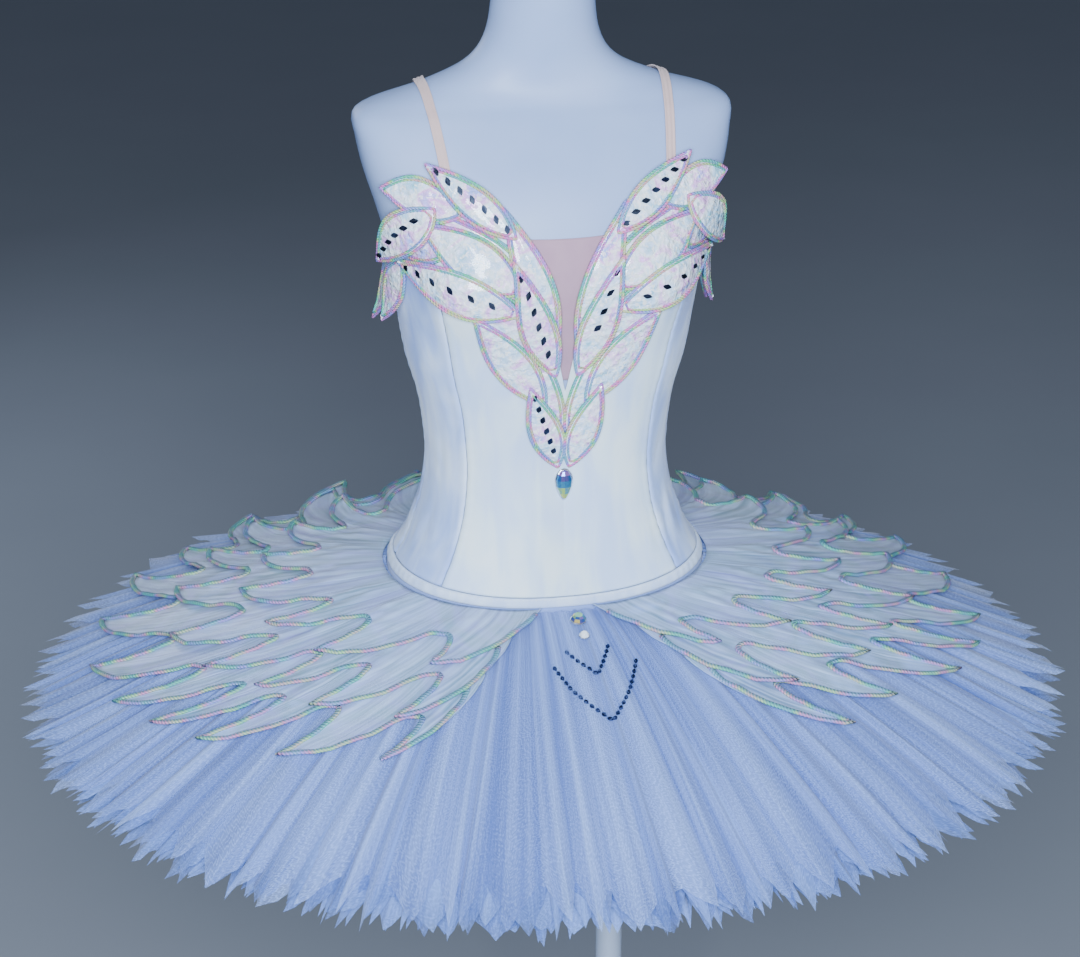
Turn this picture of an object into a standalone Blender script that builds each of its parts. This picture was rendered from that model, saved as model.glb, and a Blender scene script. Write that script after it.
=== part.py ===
"""A classical ballet tutu on a limbless dress form, with its stand.

Metres, +Z up. The origin is the middle of the stand's underside, on the floor. The wearer faces -Y, so
+X is the wearer's left. The form is a loft through SECTIONS, and every cloth piece is a wall laid out from
the same loft: the bodice's panels, the hip yoke, the hem binding, the leaves on the bodice and the straps.
Four gathered net skirts leave the yoke, and three tiers a side of feathered satin lie on the top one.
"""

import math
import random
from collections import namedtuple

import bmesh
import bpy
from mathutils import Vector

# ---------------------------------------------------------------- the form, section by section
Section = namedtuple("Section", "z half_width front back middle_y squareness")
SECTIONS = [
    Section(0.865, 0.156, 0.100, 0.118, 0.000, 2.3),
    Section(0.900, 0.156, 0.100, 0.118, 0.000, 2.3),
    Section(0.934, 0.152, 0.099, 0.113, 0.000, 2.3),
    Section(0.966, 0.135, 0.094, 0.102, 0.000, 2.3),
    Section(0.987, 0.127, 0.091, 0.095, 0.000, 2.2),
    Section(1.013, 0.1185, 0.087, 0.087, 0.000, 2.2),
    Section(1.050, 0.1135, 0.083, 0.081, 0.000, 2.2),
    Section(1.080, 0.1150, 0.084, 0.081, 0.000, 2.2),
    Section(1.115, 0.1200, 0.088, 0.083, 0.000, 2.2),
    Section(1.155, 0.1310, 0.094, 0.087, 0.000, 2.2),
    Section(1.210, 0.1400, 0.100, 0.093, 0.000, 2.2),
    Section(1.255, 0.1480, 0.103, 0.099, 0.000, 2.2),
    Section(1.300, 0.1600, 0.096, 0.101, 0.001, 2.3),
    Section(1.337, 0.1710, 0.082, 0.098, 0.004, 2.5),
    Section(1.365, 0.1765, 0.066, 0.086, 0.009, 2.7),
    Section(1.386, 0.1780, 0.052, 0.068, 0.014, 2.7),
    Section(1.396, 0.1630, 0.046, 0.058, 0.018, 2.4),
    Section(1.410, 0.1170, 0.042, 0.048, 0.020, 2.1),
    Section(1.428, 0.0750, 0.042, 0.045, 0.020, 2.0),
    Section(1.450, 0.0560, 0.043, 0.045, 0.017, 2.0),
    Section(1.485, 0.0485, 0.044, 0.045, 0.013, 2.0),
    Section(1.530, 0.0475, 0.044, 0.045, 0.008, 2.0),
]
FRONT = math.radians(270)
# The steps between the points a normal is taken from.
STEP_ANGLE = 0.01
STEP_Z = 0.002
MERGE_DISTANCE = 0.00001
FORM_COLUMNS = 32
FORM_ROW_STEP = 0.027
BOWL_DEPTH = 0.075
BOWL_ROWS = 4
NECK_DOME = 0.004

# The two bust cups, as soft mounds on the front. The boned bodice stands proud of the form's own.
FORM_CUP = 0.003
INSERT_CUP = 0.0035
BODICE_CUP = 0.017
CUP_Z = 1.238
CUP_SPREAD_Z = 0.045
CUP_ANGLE = math.radians(36)
CUP_SPREAD_ANGLE = math.radians(20)
CUP_SIDEWAYS = 0.35

# ---------------------------------------------------------------- the stand
POLE_X = 0.066
POLE_Y = -0.012
POLE_RADIUS = 0.0135
POLE_SOCKET_DEPTH = 0.030
POLE_CLEARANCE = 0.0004
POLE_SIDES = 24
BASE_RADIUS = 0.190
BASE_THICKNESS = 0.009
BASE_BEVEL = 0.0025
BASE_SIDES = 40
COLLAR_RADIUS = 0.026
COLLAR_HEIGHT = 0.022
COLLAR_FOOT = 0.006
COLLAR_WALL = 0.0036

# ---------------------------------------------------------------- cloth walls, as distances from the form
SEAM_GAP = 0.0003
PANEL_GAP = 0.0007
STRAP_CLEAR = 0.0014
STRAP_WALL = 0.0010
BODICE_CLEAR = 0.0028
BODICE_WALL = 0.0016
NET_MESH_WALL = 0.0012
BINDING_WALL = 0.0036
BINDING_HEIGHT = 0.010
BINDING_COLUMNS = 56
YOKE_COLUMNS = 40

# ---------------------------------------------------------------- the bodice's cut
TRUNK_RADIUS = 0.125
PRINCESS_FRONT = math.radians(47)
PRINCESS_BACK = math.radians(42)
PANEL_ROWS = 13
# The rows of a panel crowd at the bust, by this much of its height.
ROW_SHIFT = 0.05
ROW_SHIFT_START = 0.29
HEM_SIDE_Z = 0.936
HEM_FRONT_DIP = 0.012
HEM_BACK_DIP = 0.004

# The bodice's top edge, by the angle from the centre front to the centre back.
TopEdge = namedtuple("TopEdge", "angle_deg z")
TOP_EDGE = [
    TopEdge(0, 1.142),
    TopEdge(3, 1.190),
    TopEdge(8, 1.256),
    TopEdge(14, 1.288),
    TopEdge(21, 1.300),
    TopEdge(30, 1.313),
    TopEdge(38, 1.323),
    TopEdge(47, 1.315),
    TopEdge(62, 1.286),
    TopEdge(78, 1.262),
    TopEdge(90, 1.256),
    TopEdge(112, 1.250),
    TopEdge(138, 1.236),
    TopEdge(160, 1.222),
    TopEdge(180, 1.216),
]
INSERT_TOP_Z = 1.293
INSERT_TOP_SAG = 0.003
INSERT_BOTTOM_Z = 1.152
INSERT_TUCK = math.radians(2.5)
INSERT_CLEAR = 0.0006
INSERT_WALL = 0.0010

STRAP_WIDTH = 0.009
STRAP_X_FRONT = 0.102
STRAP_X_SHOULDER = 0.115
STRAP_X_BACK = 0.068
STRAP_ROWS = 22
# The strap's turn over the shoulder, from behind the front neckline to behind the back one, and where its
# top is.
STRAP_FRONT_TURN = math.radians(-9)
STRAP_BACK_TURN = math.radians(233)
STRAP_TOP = 0.45
STRAP_BACK_CURVE = 1.5
SHOULDER_CENTRE_Z = 1.330
# The outline over the shoulder is found by halving this distance so many times.
SHOULDER_REACH = 0.2
HALVINGS = 30

# ---------------------------------------------------------------- hip yoke and brief
YOKE_TOP_DROP = 0.0008
YOKE_BOTTOM_Z = 0.868
GUSSET_HALF_WIDTH = 0.032
SIDE_SEAM = 0.995
BRIEF_EASE = 0.0005

# ---------------------------------------------------------------- the net skirts
RIM_HALF_WIDTH = 0.522
RIM_HALF_DEPTH = 0.500
RIM_DROP = 0.132
DROOP_POWER = 1.35
DAG_DEPTH = 0.070
POINT_JITTER = 0.018
PLEAT_LEAN = 0.25
NET_WALL = 0.0010
Skirt = namedtuple("Skirt", "name pleats rows seat reach sink inner_wave outer_wave seed")
SKIRTS = [
    Skirt("net_skirt_top", 64, 4, 0.0042, 1.000, 0.000, 0.0012, 0.0036, 3),
    Skirt("net_skirt_second", 52, 2, 0.0120, 0.985, 0.004, 0.0012, 0.0034, 5),
    Skirt("net_skirt_third", 44, 2, 0.0200, 0.962, 0.008, 0.0012, 0.0034, 8),
    Skirt("net_skirt_lowest", 32, 2, 0.0290, 0.930, 0.012, 0.0012, 0.0036, 13),
]

# ---------------------------------------------------------------- the feathered satin on the top skirt
FEATHER_WALL = 0.0012
FEATHER_SEAT = 0.0010
FEATHER_LIFT = 0.0018
FEATHER_CURL = 0.004
# Nearer the front the tiers are shorter, by FRONT_SHARE at the centre front.
FRONT_SHARE = 0.70
FRONT_SPAN_DEG = 85
Tier = namedtuple("Tier", "name start reach notch feathers sweep_deg rise from_deg to_deg")
TIERS = [
    Tier("feather_tier_outer", 0.500, 0.810, 0.200, 12, 12.0, 0.0000, 18, 167),
    Tier("feather_tier_middle", 0.250, 0.610, 0.190, 10, 14.0, 0.0036, 12, 165),
    Tier("feather_tier_inner", 0.010, 0.390, 0.170, 8, 14.0, 0.0036, 8, 165),
]
# One feather's outline: how far out its edge is at each part of its width, 0 at the notch, 1 at the point.
FeatherEdge = namedtuple("FeatherEdge", "part out")
FEATHER = [
    FeatherEdge(0.00, 0.00),
    FeatherEdge(0.25, 0.62),
    FeatherEdge(0.50, 1.00),
    FeatherEdge(0.75, 0.40),
]

# ---------------------------------------------------------------- the leaves on the bodice
LEAF_WALL = 0.0010
LEAF_LIFT = 0.0010
LEAF_STEP = 0.0015
ROOT_LENGTH = 0.3
LEAF_CROWN = 0.0004
# Angles run from the centre front to the side. A leaf is pointed at both ends. Its level is how many leaves
# lie under it, at its root and past it, and flare is how far its tip stands off.
Leaf = namedtuple("Leaf", "name root_deg root_z tip_deg tip_z width root_level level flare")
LEAVES = [
    Leaf("leaf_waist", 3.5, 1.096, 10, 1.196, 0.024, 0, 0, 0.0),
    Leaf("leaf_low", 9.0, 1.142, 33, 1.225, 0.029, 1, 1, 0.0),
    Leaf("leaf_point", 3.8, 1.064, 12.5, 1.150, 0.026, 0, 2, 0.0),
    Leaf("leaf_neck", 4.0, 1.196, 16, 1.314, 0.028, 0, 0, 0.0),
    Leaf("leaf_heart", 15.5, 1.200, 28, 1.250, 0.024, 0, 0, 0.0),
    Leaf("leaf_inner", 3.6, 1.172, 17, 1.268, 0.028, 1, 2, 0.0),
    Leaf("leaf_middle", 20.0, 1.264, 47, 1.303, 0.034, -0.4, 1, 0.0),
    Leaf("leaf_breast", 20.0, 1.234, 66, 1.264, 0.033, 1.5, 2, 0.0),
    Leaf("leaf_shoulder", 33.0, 1.320, 63, 1.331, 0.030, 0, 0, 0.004),
    Leaf("leaf_top", 17.0, 1.300, 38, 1.350, 0.028, 1, 1, 0.001),
    Leaf("leaf_side", 44.0, 1.310, 78, 1.264, 0.031, 2, 3, 0.006),
    Leaf("leaf_wing", 84.0, 1.251, 98, 1.192, 0.030, -0.4, 0, 0.022),
    Leaf("leaf_arm", 70.0, 1.258, 84, 1.200, 0.028, -0.4, 1, 0.014),
]
LEAF_COLUMNS = 2
LEAF_ROWS = 5
LEAF_STEP_ANGLE = 0.05
# A belly under 1 moves a leaf's widest place towards its root, a fullness under 1 makes it rounder.
LEAF_BELLY = 0.85
LEAF_FULLNESS = 0.80

DROP_JEWEL_Z = 1.040
DROP_JEWEL_WIDTH = 0.018
DROP_JEWEL_HEIGHT = 0.028
DROP_JEWEL_DEPTH = 0.009
DROP_JEWEL_TAPER = 0.9
DROP_JEWEL_STRETCH = 1.25
DROP_JEWEL_CLEAR = 0.0009

# Colour, roughness and metallic value of each finish.
Finish = namedtuple("Finish", "colour roughness metallic")
FINISHES = {
    "white_satin": Finish((0.80, 0.86, 0.96), 0.40, 0.0),
    "net": Finish((0.72, 0.80, 0.95), 0.80, 0.0),
    "pearl_cloth": Finish((0.86, 0.86, 0.90), 0.25, 0.1),
    "flesh_mesh": Finish((0.62, 0.48, 0.50), 0.70, 0.0),
    "flesh_elastic": Finish((0.72, 0.57, 0.55), 0.60, 0.0),
    "form_shell": Finish((0.74, 0.79, 0.88), 0.45, 0.0),
    "stand_metal": Finish((0.70, 0.74, 0.80), 0.35, 0.6),
    "crystal": Finish((0.55, 0.62, 0.75), 0.05, 0.2),
}


# ================================================================ the form's surface
def section_at(z):
    """The form's section at this height, on a smooth curve through the rows of SECTIONS."""
    rows = SECTIONS
    z = min(max(z, rows[0].z), rows[-1].z)
    i = max(0, min(len(rows) - 2, sum(row.z <= z for row in rows) - 1))
    low, high = rows[i], rows[i + 1]
    before, after = rows[max(0, i - 1)], rows[min(len(rows) - 1, i + 2)]
    span = high.z - low.z
    t = (z - low.z) / span
    values = []
    for column in range(1, len(low)):
        slope_low = (high[column] - before[column]) / (high.z - before.z)
        slope_high = (after[column] - low[column]) / (after.z - low.z)
        values.append(
            (2 * t**3 - 3 * t**2 + 1) * low[column]
            + (t**3 - 2 * t**2 + t) * span * slope_low
            + (3 * t**2 - 2 * t**3) * high[column]
            + (t**3 - t**2) * span * slope_high
        )
    return Section(z, *values)


def power(value, exponent):
    """The value's size to this power, with the value's sign."""
    return math.copysign(abs(value) ** exponent, value)


def cup(angle, z, height):
    """How far a bust of this height stands out of the section here."""
    total = 0.0
    for side in (-1, 1):
        away = math.remainder(angle - FRONT - side * CUP_ANGLE, math.tau) / CUP_SPREAD_ANGLE
        up = (z - CUP_Z) / CUP_SPREAD_Z
        total += height * math.exp(-away * away - up * up)
    return total


def on_section(angle, z, bust=BODICE_CUP):
    """The point of the surface at this angle and height: 0 is the wearer's left and 270 the front."""
    row = section_at(z)
    c, s = math.cos(angle), math.sin(angle)
    depth = row.front if s < 0 else row.back
    point = Vector(
        (
            row.half_width * power(c, 2 / row.squareness),
            row.middle_y + depth * power(s, 2 / row.squareness),
            z,
        )
    )
    mound = cup(angle, z, bust)
    if mound > MERGE_DISTANCE:
        point += Vector((CUP_SIDEWAYS * c, s, 0)).normalized() * mound
    return point


def on_form(angle, z, out=0.0, bust=BODICE_CUP):
    """A point this far out of the surface, along its normal."""
    round_it = on_section(angle + STEP_ANGLE, z, bust) - on_section(angle - STEP_ANGLE, z, bust)
    low, high = max(z - STEP_Z, SECTIONS[0].z), min(z + STEP_Z, SECTIONS[-1].z)
    up_it = on_section(angle, high, bust) - on_section(angle, low, bust)
    return on_section(angle, z, bust) + round_it.cross(up_it).normalized() * out


def inside_form(point):
    """Whether a point is within the form's own outline, its bust left out."""
    row = section_at(point.z)
    if not SECTIONS[0].z <= point.z <= SECTIONS[-1].z:
        return False
    depth = row.front if point.y < row.middle_y else row.back
    across = abs(point.x / row.half_width) ** row.squareness
    along = abs((point.y - row.middle_y) / depth) ** row.squareness
    return across + along < 1


def over_shoulder(x, turn, out):
    """A point on the form's side view at this x, at a turn from the front over the top to the back."""
    centre = Vector((x, section_at(SHOULDER_CENTRE_Z).middle_y, SHOULDER_CENTRE_Z))
    ray = Vector((0, -math.cos(turn), math.sin(turn)))
    near, far = 0.0, SHOULDER_REACH
    for _ in range(HALVINGS):
        middle = (near + far) / 2
        if inside_form(centre + ray * middle):
            near = middle
        else:
            far = middle
    return centre + ray * (near + out)


def by_angle(table, angle_deg):
    """The z of a table that is sorted by angle_deg, between its rows."""
    angle_deg = min(max(angle_deg, table[0].angle_deg), table[-1].angle_deg)
    for low, high in zip(table, table[1:]):
        if angle_deg <= high.angle_deg:
            part = (angle_deg - low.angle_deg) / (high.angle_deg - low.angle_deg)
            return low.z + (high.z - low.z) * part
    return table[-1].z


def from_front(angle):
    """The angle from the centre front, from 0 to pi, on either side."""
    return abs(math.remainder(angle - FRONT, math.tau))


def hem_z(angle):
    """The bodice's lower edge, which dips at the centre front and a little at the back."""
    forward = -math.sin(angle)
    dip = HEM_FRONT_DIP if forward > 0 else HEM_BACK_DIP
    return HEM_SIDE_Z - dip * forward * forward


# ================================================================ making objects
def start_scene():
    for obj in list(bpy.data.objects):
        bpy.data.objects.remove(obj, do_unlink=True)
    made = {}
    for name in ("ballet_tutu", "cutters"):
        made[name] = bpy.data.collections.new(name)
        bpy.context.scene.collection.children.link(made[name])
    return made["ballet_tutu"], made["cutters"]


def finish_of(name):
    material = bpy.data.materials.get(name)
    if material is None:
        material = bpy.data.materials.new(name)
        material.use_nodes = True
        shader = material.node_tree.nodes["Principled BSDF"]
        finish = FINISHES[name]
        shader.inputs["Base Color"].default_value = (*finish.colour, 1.0)
        shader.inputs["Roughness"].default_value = finish.roughness
        shader.inputs["Metallic"].default_value = finish.metallic
    return material


def add_object(name, bm, collection, finish=None):
    mesh = bpy.data.meshes.new(name)
    bm.to_mesh(mesh)
    bm.free()
    obj = bpy.data.objects.new(name, mesh)
    collection.objects.link(obj)
    if finish:
        mesh.materials.append(finish_of(finish))
    return obj


def cloth(name, columns, rows, place, wall, finish, collection):
    """A wall of cloth: a grid whose points go where place(u, v) says, u and v being 0 to 1, made thick."""
    bm = bmesh.new()
    bmesh.ops.create_grid(bm, x_segments=columns, y_segments=rows, size=0.5)
    for vert in bm.verts:
        vert.co = place(vert.co.x + 0.5, vert.co.y + 0.5)
    bmesh.ops.remove_doubles(bm, verts=bm.verts, dist=MERGE_DISTANCE)
    obj = add_object(name, bm, collection, finish)
    thick = obj.modifiers.new("wall", "SOLIDIFY")
    thick.thickness = wall
    thick.offset = 0


def mirrored(name, side):
    return name + ("_left" if side > 0 else "_right")


# ================================================================ the form and its stand
def form_rows():
    """The heights of the form's rings, evenly spaced along its side, so closer over the shoulders."""
    rows = []
    for low, high in zip(SECTIONS, SECTIONS[1:]):
        along = math.hypot(high.z - low.z, high.half_width - low.half_width)
        count = max(1, round(along / FORM_ROW_STEP))
        rows += [low.z + (high.z - low.z) * i / count for i in range(count)]
    return rows + [SECTIONS[-1].z]


def make_form(collection, cutters):
    """The limbless form: a rounded underside, the loft, a slightly domed neck and a socket for the pole."""
    heights = form_rows()
    bowl = [math.radians(90) * (1 - i / BOWL_ROWS) for i in range(BOWL_ROWS)]
    rings = len(bowl) + len(heights)

    def place(u, v):
        angle = math.tau * u
        i = round(v * (rings - 1))
        if i >= len(bowl):
            return on_section(angle, heights[i - len(bowl)], FORM_CUP)
        return bowl_point(angle, bowl[i])

    bm = bmesh.new()
    bmesh.ops.create_grid(bm, x_segments=FORM_COLUMNS, y_segments=rings - 1, size=0.5)
    for vert in bm.verts:
        vert.co = place(vert.co.x + 0.5, vert.co.y + 0.5)
    bmesh.ops.remove_doubles(bm, verts=bm.verts, dist=MERGE_DISTANCE)
    rim = [edge for edge in bm.edges if edge.is_boundary]
    top = bmesh.ops.edgeloop_fill(bm, edges=rim)["faces"]
    cap = bmesh.ops.poke(bm, faces=top)
    cap["verts"][0].co.z += NECK_DOME
    bmesh.ops.recalc_face_normals(bm, faces=bm.faces)
    form = add_object("dress_form", bm, collection, "form_shell")
    form.data.shade_smooth()

    socket = cylinder("pole_socket", POLE_RADIUS + POLE_CLEARANCE, BASE_THICKNESS, pole_top(), cutters)
    socket.hide_render = True
    socket.display_type = "WIRE"
    cut = form.modifiers.new("socket", "BOOLEAN")
    cut.operation = "DIFFERENCE"
    cut.solver = "EXACT"
    cut.object = socket


def bowl_point(angle, tilt):
    """A point on the form's rounded underside: tilt is 0 at the rim and a quarter turn at the bottom."""
    rim = on_section(angle, SECTIONS[0].z)
    reach = math.cos(tilt)
    return Vector((rim.x * reach, rim.y * reach, rim.z - BOWL_DEPTH * math.sin(tilt)))


def pole_top():
    """The height of the socket's end, a little way into the form's underside."""
    across = math.hypot(POLE_X / SECTIONS[0].half_width, POLE_Y / SECTIONS[0].front)
    return SECTIONS[0].z - BOWL_DEPTH * math.sqrt(1 - across * across) + POLE_SOCKET_DEPTH


def cylinder(name, radius, low, high, collection, finish=None, x=POLE_X, y=POLE_Y, sides=POLE_SIDES):
    bm = bmesh.new()
    bmesh.ops.create_cone(
        bm, cap_ends=True, segments=sides, radius1=radius, radius2=radius, depth=high - low
    )
    obj = add_object(name, bm, collection, finish)
    obj.location = (x, y, (low + high) / 2)
    return obj


def make_stand(collection):
    """The floor plate, the pole that stands on it off centre, and the collar round the pole's foot."""
    base = cylinder(
        "stand_base", BASE_RADIUS, 0, BASE_THICKNESS, collection, "stand_metal", 0, 0, BASE_SIDES
    )
    edge = base.modifiers.new("rounded rim", "BEVEL")
    edge.width = BASE_BEVEL
    edge.segments = 2
    edge.limit_method = "ANGLE"

    collar_low = BASE_THICKNESS + SEAM_GAP
    profile = [
        (POLE_RADIUS + POLE_CLEARANCE, collar_low + COLLAR_HEIGHT),
        (POLE_RADIUS + POLE_CLEARANCE + COLLAR_WALL, collar_low + COLLAR_HEIGHT),
        (COLLAR_RADIUS, collar_low + COLLAR_FOOT),
        (COLLAR_RADIUS, collar_low),
        (POLE_RADIUS + POLE_CLEARANCE, collar_low),
    ]
    bm = bmesh.new()
    points = [bm.verts.new((x, 0, z)) for x, z in profile]
    for start, end in zip(points, points[1:] + points[:1]):
        bm.edges.new((start, end))
    collar = add_object("stand_collar", bm, collection, "stand_metal")
    collar.location = (POLE_X, POLE_Y, 0)
    turn = collar.modifiers.new("turned", "SCREW")
    turn.steps = turn.render_steps = POLE_SIDES
    turn.use_merge_vertices = True
    turn.merge_threshold = MERGE_DISTANCE
    cylinder(
        "stand_pole",
        POLE_RADIUS,
        BASE_THICKNESS + SEAM_GAP,
        pole_top() - SEAM_GAP,
        collection,
        "stand_metal",
    )


# ================================================================ the bodice
def panel(name, start, end, collection, columns=4, ease=1.0):
    """A bodice panel between two seams, given as angles. ease above 1 crowds the columns to the middle."""
    gap = PANEL_GAP / 2 / TRUNK_RADIUS
    first, last = start + gap, end - gap

    def place(u, v):
        bent = (1 + power(2 * u - 1, ease)) / 2
        angle = first + (last - first) * bent
        low = hem_z(angle) + BINDING_HEIGHT + SEAM_GAP
        high = by_angle(TOP_EDGE, math.degrees(from_front(angle)))
        shift = math.sin(math.tau * (v - ROW_SHIFT_START)) + math.sin(math.tau * ROW_SHIFT_START)
        z = low + (high - low) * (v + ROW_SHIFT * shift)
        return on_form(angle, z, BODICE_CLEAR + BODICE_WALL / 2)

    cloth(name, columns, PANEL_ROWS, place, BODICE_WALL, "white_satin", collection)


def make_bodice(collection):
    """Seven boned panels: one centre front, and a side front, side back and centre back on each side."""
    panel("bodice_centre_front", FRONT - PRINCESS_FRONT, FRONT + PRINCESS_FRONT, collection, 14, 1.4)
    for side in (1, -1):
        front = FRONT + side * PRINCESS_FRONT
        hip = FRONT + side * math.radians(90)
        rear = FRONT + side * (math.pi - PRINCESS_BACK)
        back = FRONT + side * math.pi
        for name, start, end in (
            ("bodice_side_front", front, hip),
            ("bodice_side_back", hip, rear),
            ("bodice_centre_back", rear, back),
        ):
            panel(mirrored(name, side), min(start, end), max(start, end), collection)


def insert_half_angle(z):
    """The angle from the centre front at which the bodice's neckline reaches this height."""
    for low, high in zip(TOP_EDGE, TOP_EDGE[1:]):
        if z <= high.z:
            part = max(0.0, (z - low.z) / (high.z - low.z))
            return math.radians(low.angle_deg + (high.angle_deg - low.angle_deg) * part)
    return 0.0


def make_insert(collection):
    """The flesh-coloured mesh that fills the deep neckline, tucked behind the bodice's edges."""

    def place(u, v):
        across = 2 * u - 1
        z = INSERT_BOTTOM_Z + (INSERT_TOP_Z - INSERT_BOTTOM_Z) * v
        half = insert_half_angle(z) + INSERT_TUCK
        z -= INSERT_TOP_SAG * v * (1 - across * across)
        return on_form(FRONT + across * half, z, INSERT_CLEAR + INSERT_WALL / 2, INSERT_CUP)

    cloth("neck_insert", 6, 10, place, INSERT_WALL, "flesh_mesh", collection)


def make_straps(collection):
    """Elastic straps from the front neckline over the shoulders to the back."""
    for side in (1, -1):

        def place(u, v):
            turn = STRAP_FRONT_TURN + (STRAP_BACK_TURN - STRAP_FRONT_TURN) * v
            up = min(1.0, v / STRAP_TOP)
            down = max(0.0, (v - STRAP_TOP) / (1 - STRAP_TOP))
            x = STRAP_X_FRONT + (STRAP_X_SHOULDER - STRAP_X_FRONT) * up
            x += (STRAP_X_BACK - STRAP_X_SHOULDER) * down**STRAP_BACK_CURVE
            x = side * (x + STRAP_WIDTH * (u - 0.5))
            return over_shoulder(x, turn, STRAP_CLEAR + STRAP_WALL / 2)

        cloth(mirrored("strap", side), 2, STRAP_ROWS, place, STRAP_WALL, "flesh_elastic", collection)


def make_binding(collection):
    """The rounded band that finishes the bodice's lower edge."""
    middle = BODICE_CLEAR + BINDING_WALL / 2

    def place(u, v):
        angle = math.tau * u
        z = hem_z(angle) + (BINDING_HEIGHT - SEAM_GAP) * v
        return on_form(angle, z, middle)

    cloth("hem_binding", BINDING_COLUMNS, 1, place, BINDING_WALL, "white_satin", collection)


# ================================================================ yoke and brief
def make_yoke(collection):
    """The tube that the net skirts are sewn to."""

    def place(u, v):
        angle = math.tau * u
        high = hem_z(angle) - YOKE_TOP_DROP
        z = YOKE_BOTTOM_Z + (high - YOKE_BOTTOM_Z) * v
        return on_form(angle, z, BODICE_CLEAR + NET_MESH_WALL / 2)

    cloth("hip_yoke", YOKE_COLUMNS, 2, place, NET_MESH_WALL, "net", collection)


def make_brief(collection):
    """Front and back of the brief, which narrow to a gusset under the form."""
    out = BODICE_CLEAR + NET_MESH_WALL / 2 + BRIEF_EASE
    rim_z = YOKE_BOTTOM_Z - SEAM_GAP
    hang = BOWL_DEPTH + out + rim_z - SECTIONS[0].z
    squareness = SECTIONS[0].squareness
    half_width = SECTIONS[0].half_width + out
    depth_of = {-1: SECTIONS[0].front + out, 1: SECTIONS[0].back + out}
    narrow = math.asin((GUSSET_HALF_WIDTH / half_width) ** (squareness / 2)) * 2 / math.pi
    for toward, name in ((-1, "brief_front"), (1, "brief_back")):

        def place(u, v):
            tilt = math.radians(90) * v
            share = narrow + (1 - narrow) * (1 - v) ** 2
            turn = math.radians(90) * SIDE_SEAM * share * (2 * u - 1)
            across = power(math.sin(turn), 2 / squareness)
            reach = math.cos(turn) ** (2 / squareness)
            return Vector(
                (
                    half_width * across,
                    toward * (depth_of[toward] * reach * math.cos(tilt) + SEAM_GAP / 2),
                    rim_z - hang * reach * math.sin(tilt),
                )
            )

        cloth(name, 12, 6, place, NET_MESH_WALL, "net", collection)


# ================================================================ the net skirts
def rim_point(angle):
    """The skirt's outline in plan, at an angle round the form."""
    return Vector((RIM_HALF_WIDTH * math.cos(angle), RIM_HALF_DEPTH * math.sin(angle), 0))


def skirt_point(angle, share, seat, sink=0.0):
    """A point on a skirt's smooth surface: share is 0 at the yoke and 1 at the rim."""
    start_z = hem_z(angle) - seat
    start = on_form(angle, start_z, BODICE_CLEAR + NET_MESH_WALL + SEAM_GAP + NET_WALL / 2)
    end = rim_point(angle)
    point = start.lerp(end, share)
    hang = RIM_DROP - (HEM_SIDE_Z - hem_z(angle))
    point.z = start_z - hang * share**DROOP_POWER - sink * share
    return point


def make_skirt(row, collection):
    """One gathered net skirt, in which a pleat's crest ends in a point and its valley in a notch."""
    chance = random.Random(row.seed)
    points = [1 + POINT_JITTER * chance.uniform(-1, 1) for _ in range(row.pleats)]
    lean = [PLEAT_LEAN * chance.uniform(-1, 1) for _ in range(row.pleats)]
    columns = 2 * row.pleats

    def place(u, v):
        column = round(u * columns) % columns
        pleat, is_crest = column // 2, column % 2
        end = row.reach * (points[pleat] if is_crest else 1 - DAG_DEPTH)
        share = end * v
        turn = column + lean[pleat] * v * is_crest
        angle = math.tau * turn / columns + math.tau * row.seed / 360
        point = skirt_point(angle, share, row.seat, row.sink)
        wave = row.inner_wave + (row.outer_wave - row.inner_wave) * share
        point.z += wave if is_crest else -wave
        return point

    cloth(row.name, columns, row.rows, place, NET_WALL, "net", collection)


# ================================================================ feathered satin on the top skirt
def make_tier(row, side, collection):
    """Half a ring of satin whose edge is cut into swept feathers. It rises clear of the tier outside it."""
    columns = row.feathers * len(FEATHER)
    top = SKIRTS[0]

    def place(u, v):
        edge = FEATHER[round(u * columns) % len(FEATHER)].out
        share = row.start + (row.reach - row.notch * (1 - edge) - row.start) * v
        along = (share - row.start) / (row.reach - row.start)
        turn = row.from_deg + (row.to_deg - row.from_deg) * u + row.sweep_deg * along**1.5
        forward = max(0.0, 1 - turn / FRONT_SPAN_DEG)
        share *= 1 - (1 - FRONT_SHARE) * forward * (2 - forward)
        angle = FRONT + side * math.radians(turn)
        point = skirt_point(angle, share, top.seat)
        crest = top.inner_wave + (top.outer_wave - top.inner_wave) * share + NET_WALL / 2
        lift = FEATHER_SEAT + (FEATHER_LIFT + row.rise - FEATHER_SEAT) * min(1, 2 * v)
        point.z += crest + lift + FEATHER_WALL / 2 + FEATHER_CURL * edge * v * v * along
        return point

    cloth(mirrored(row.name, side), columns, 2, place, FEATHER_WALL, "pearl_cloth", collection)


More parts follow.
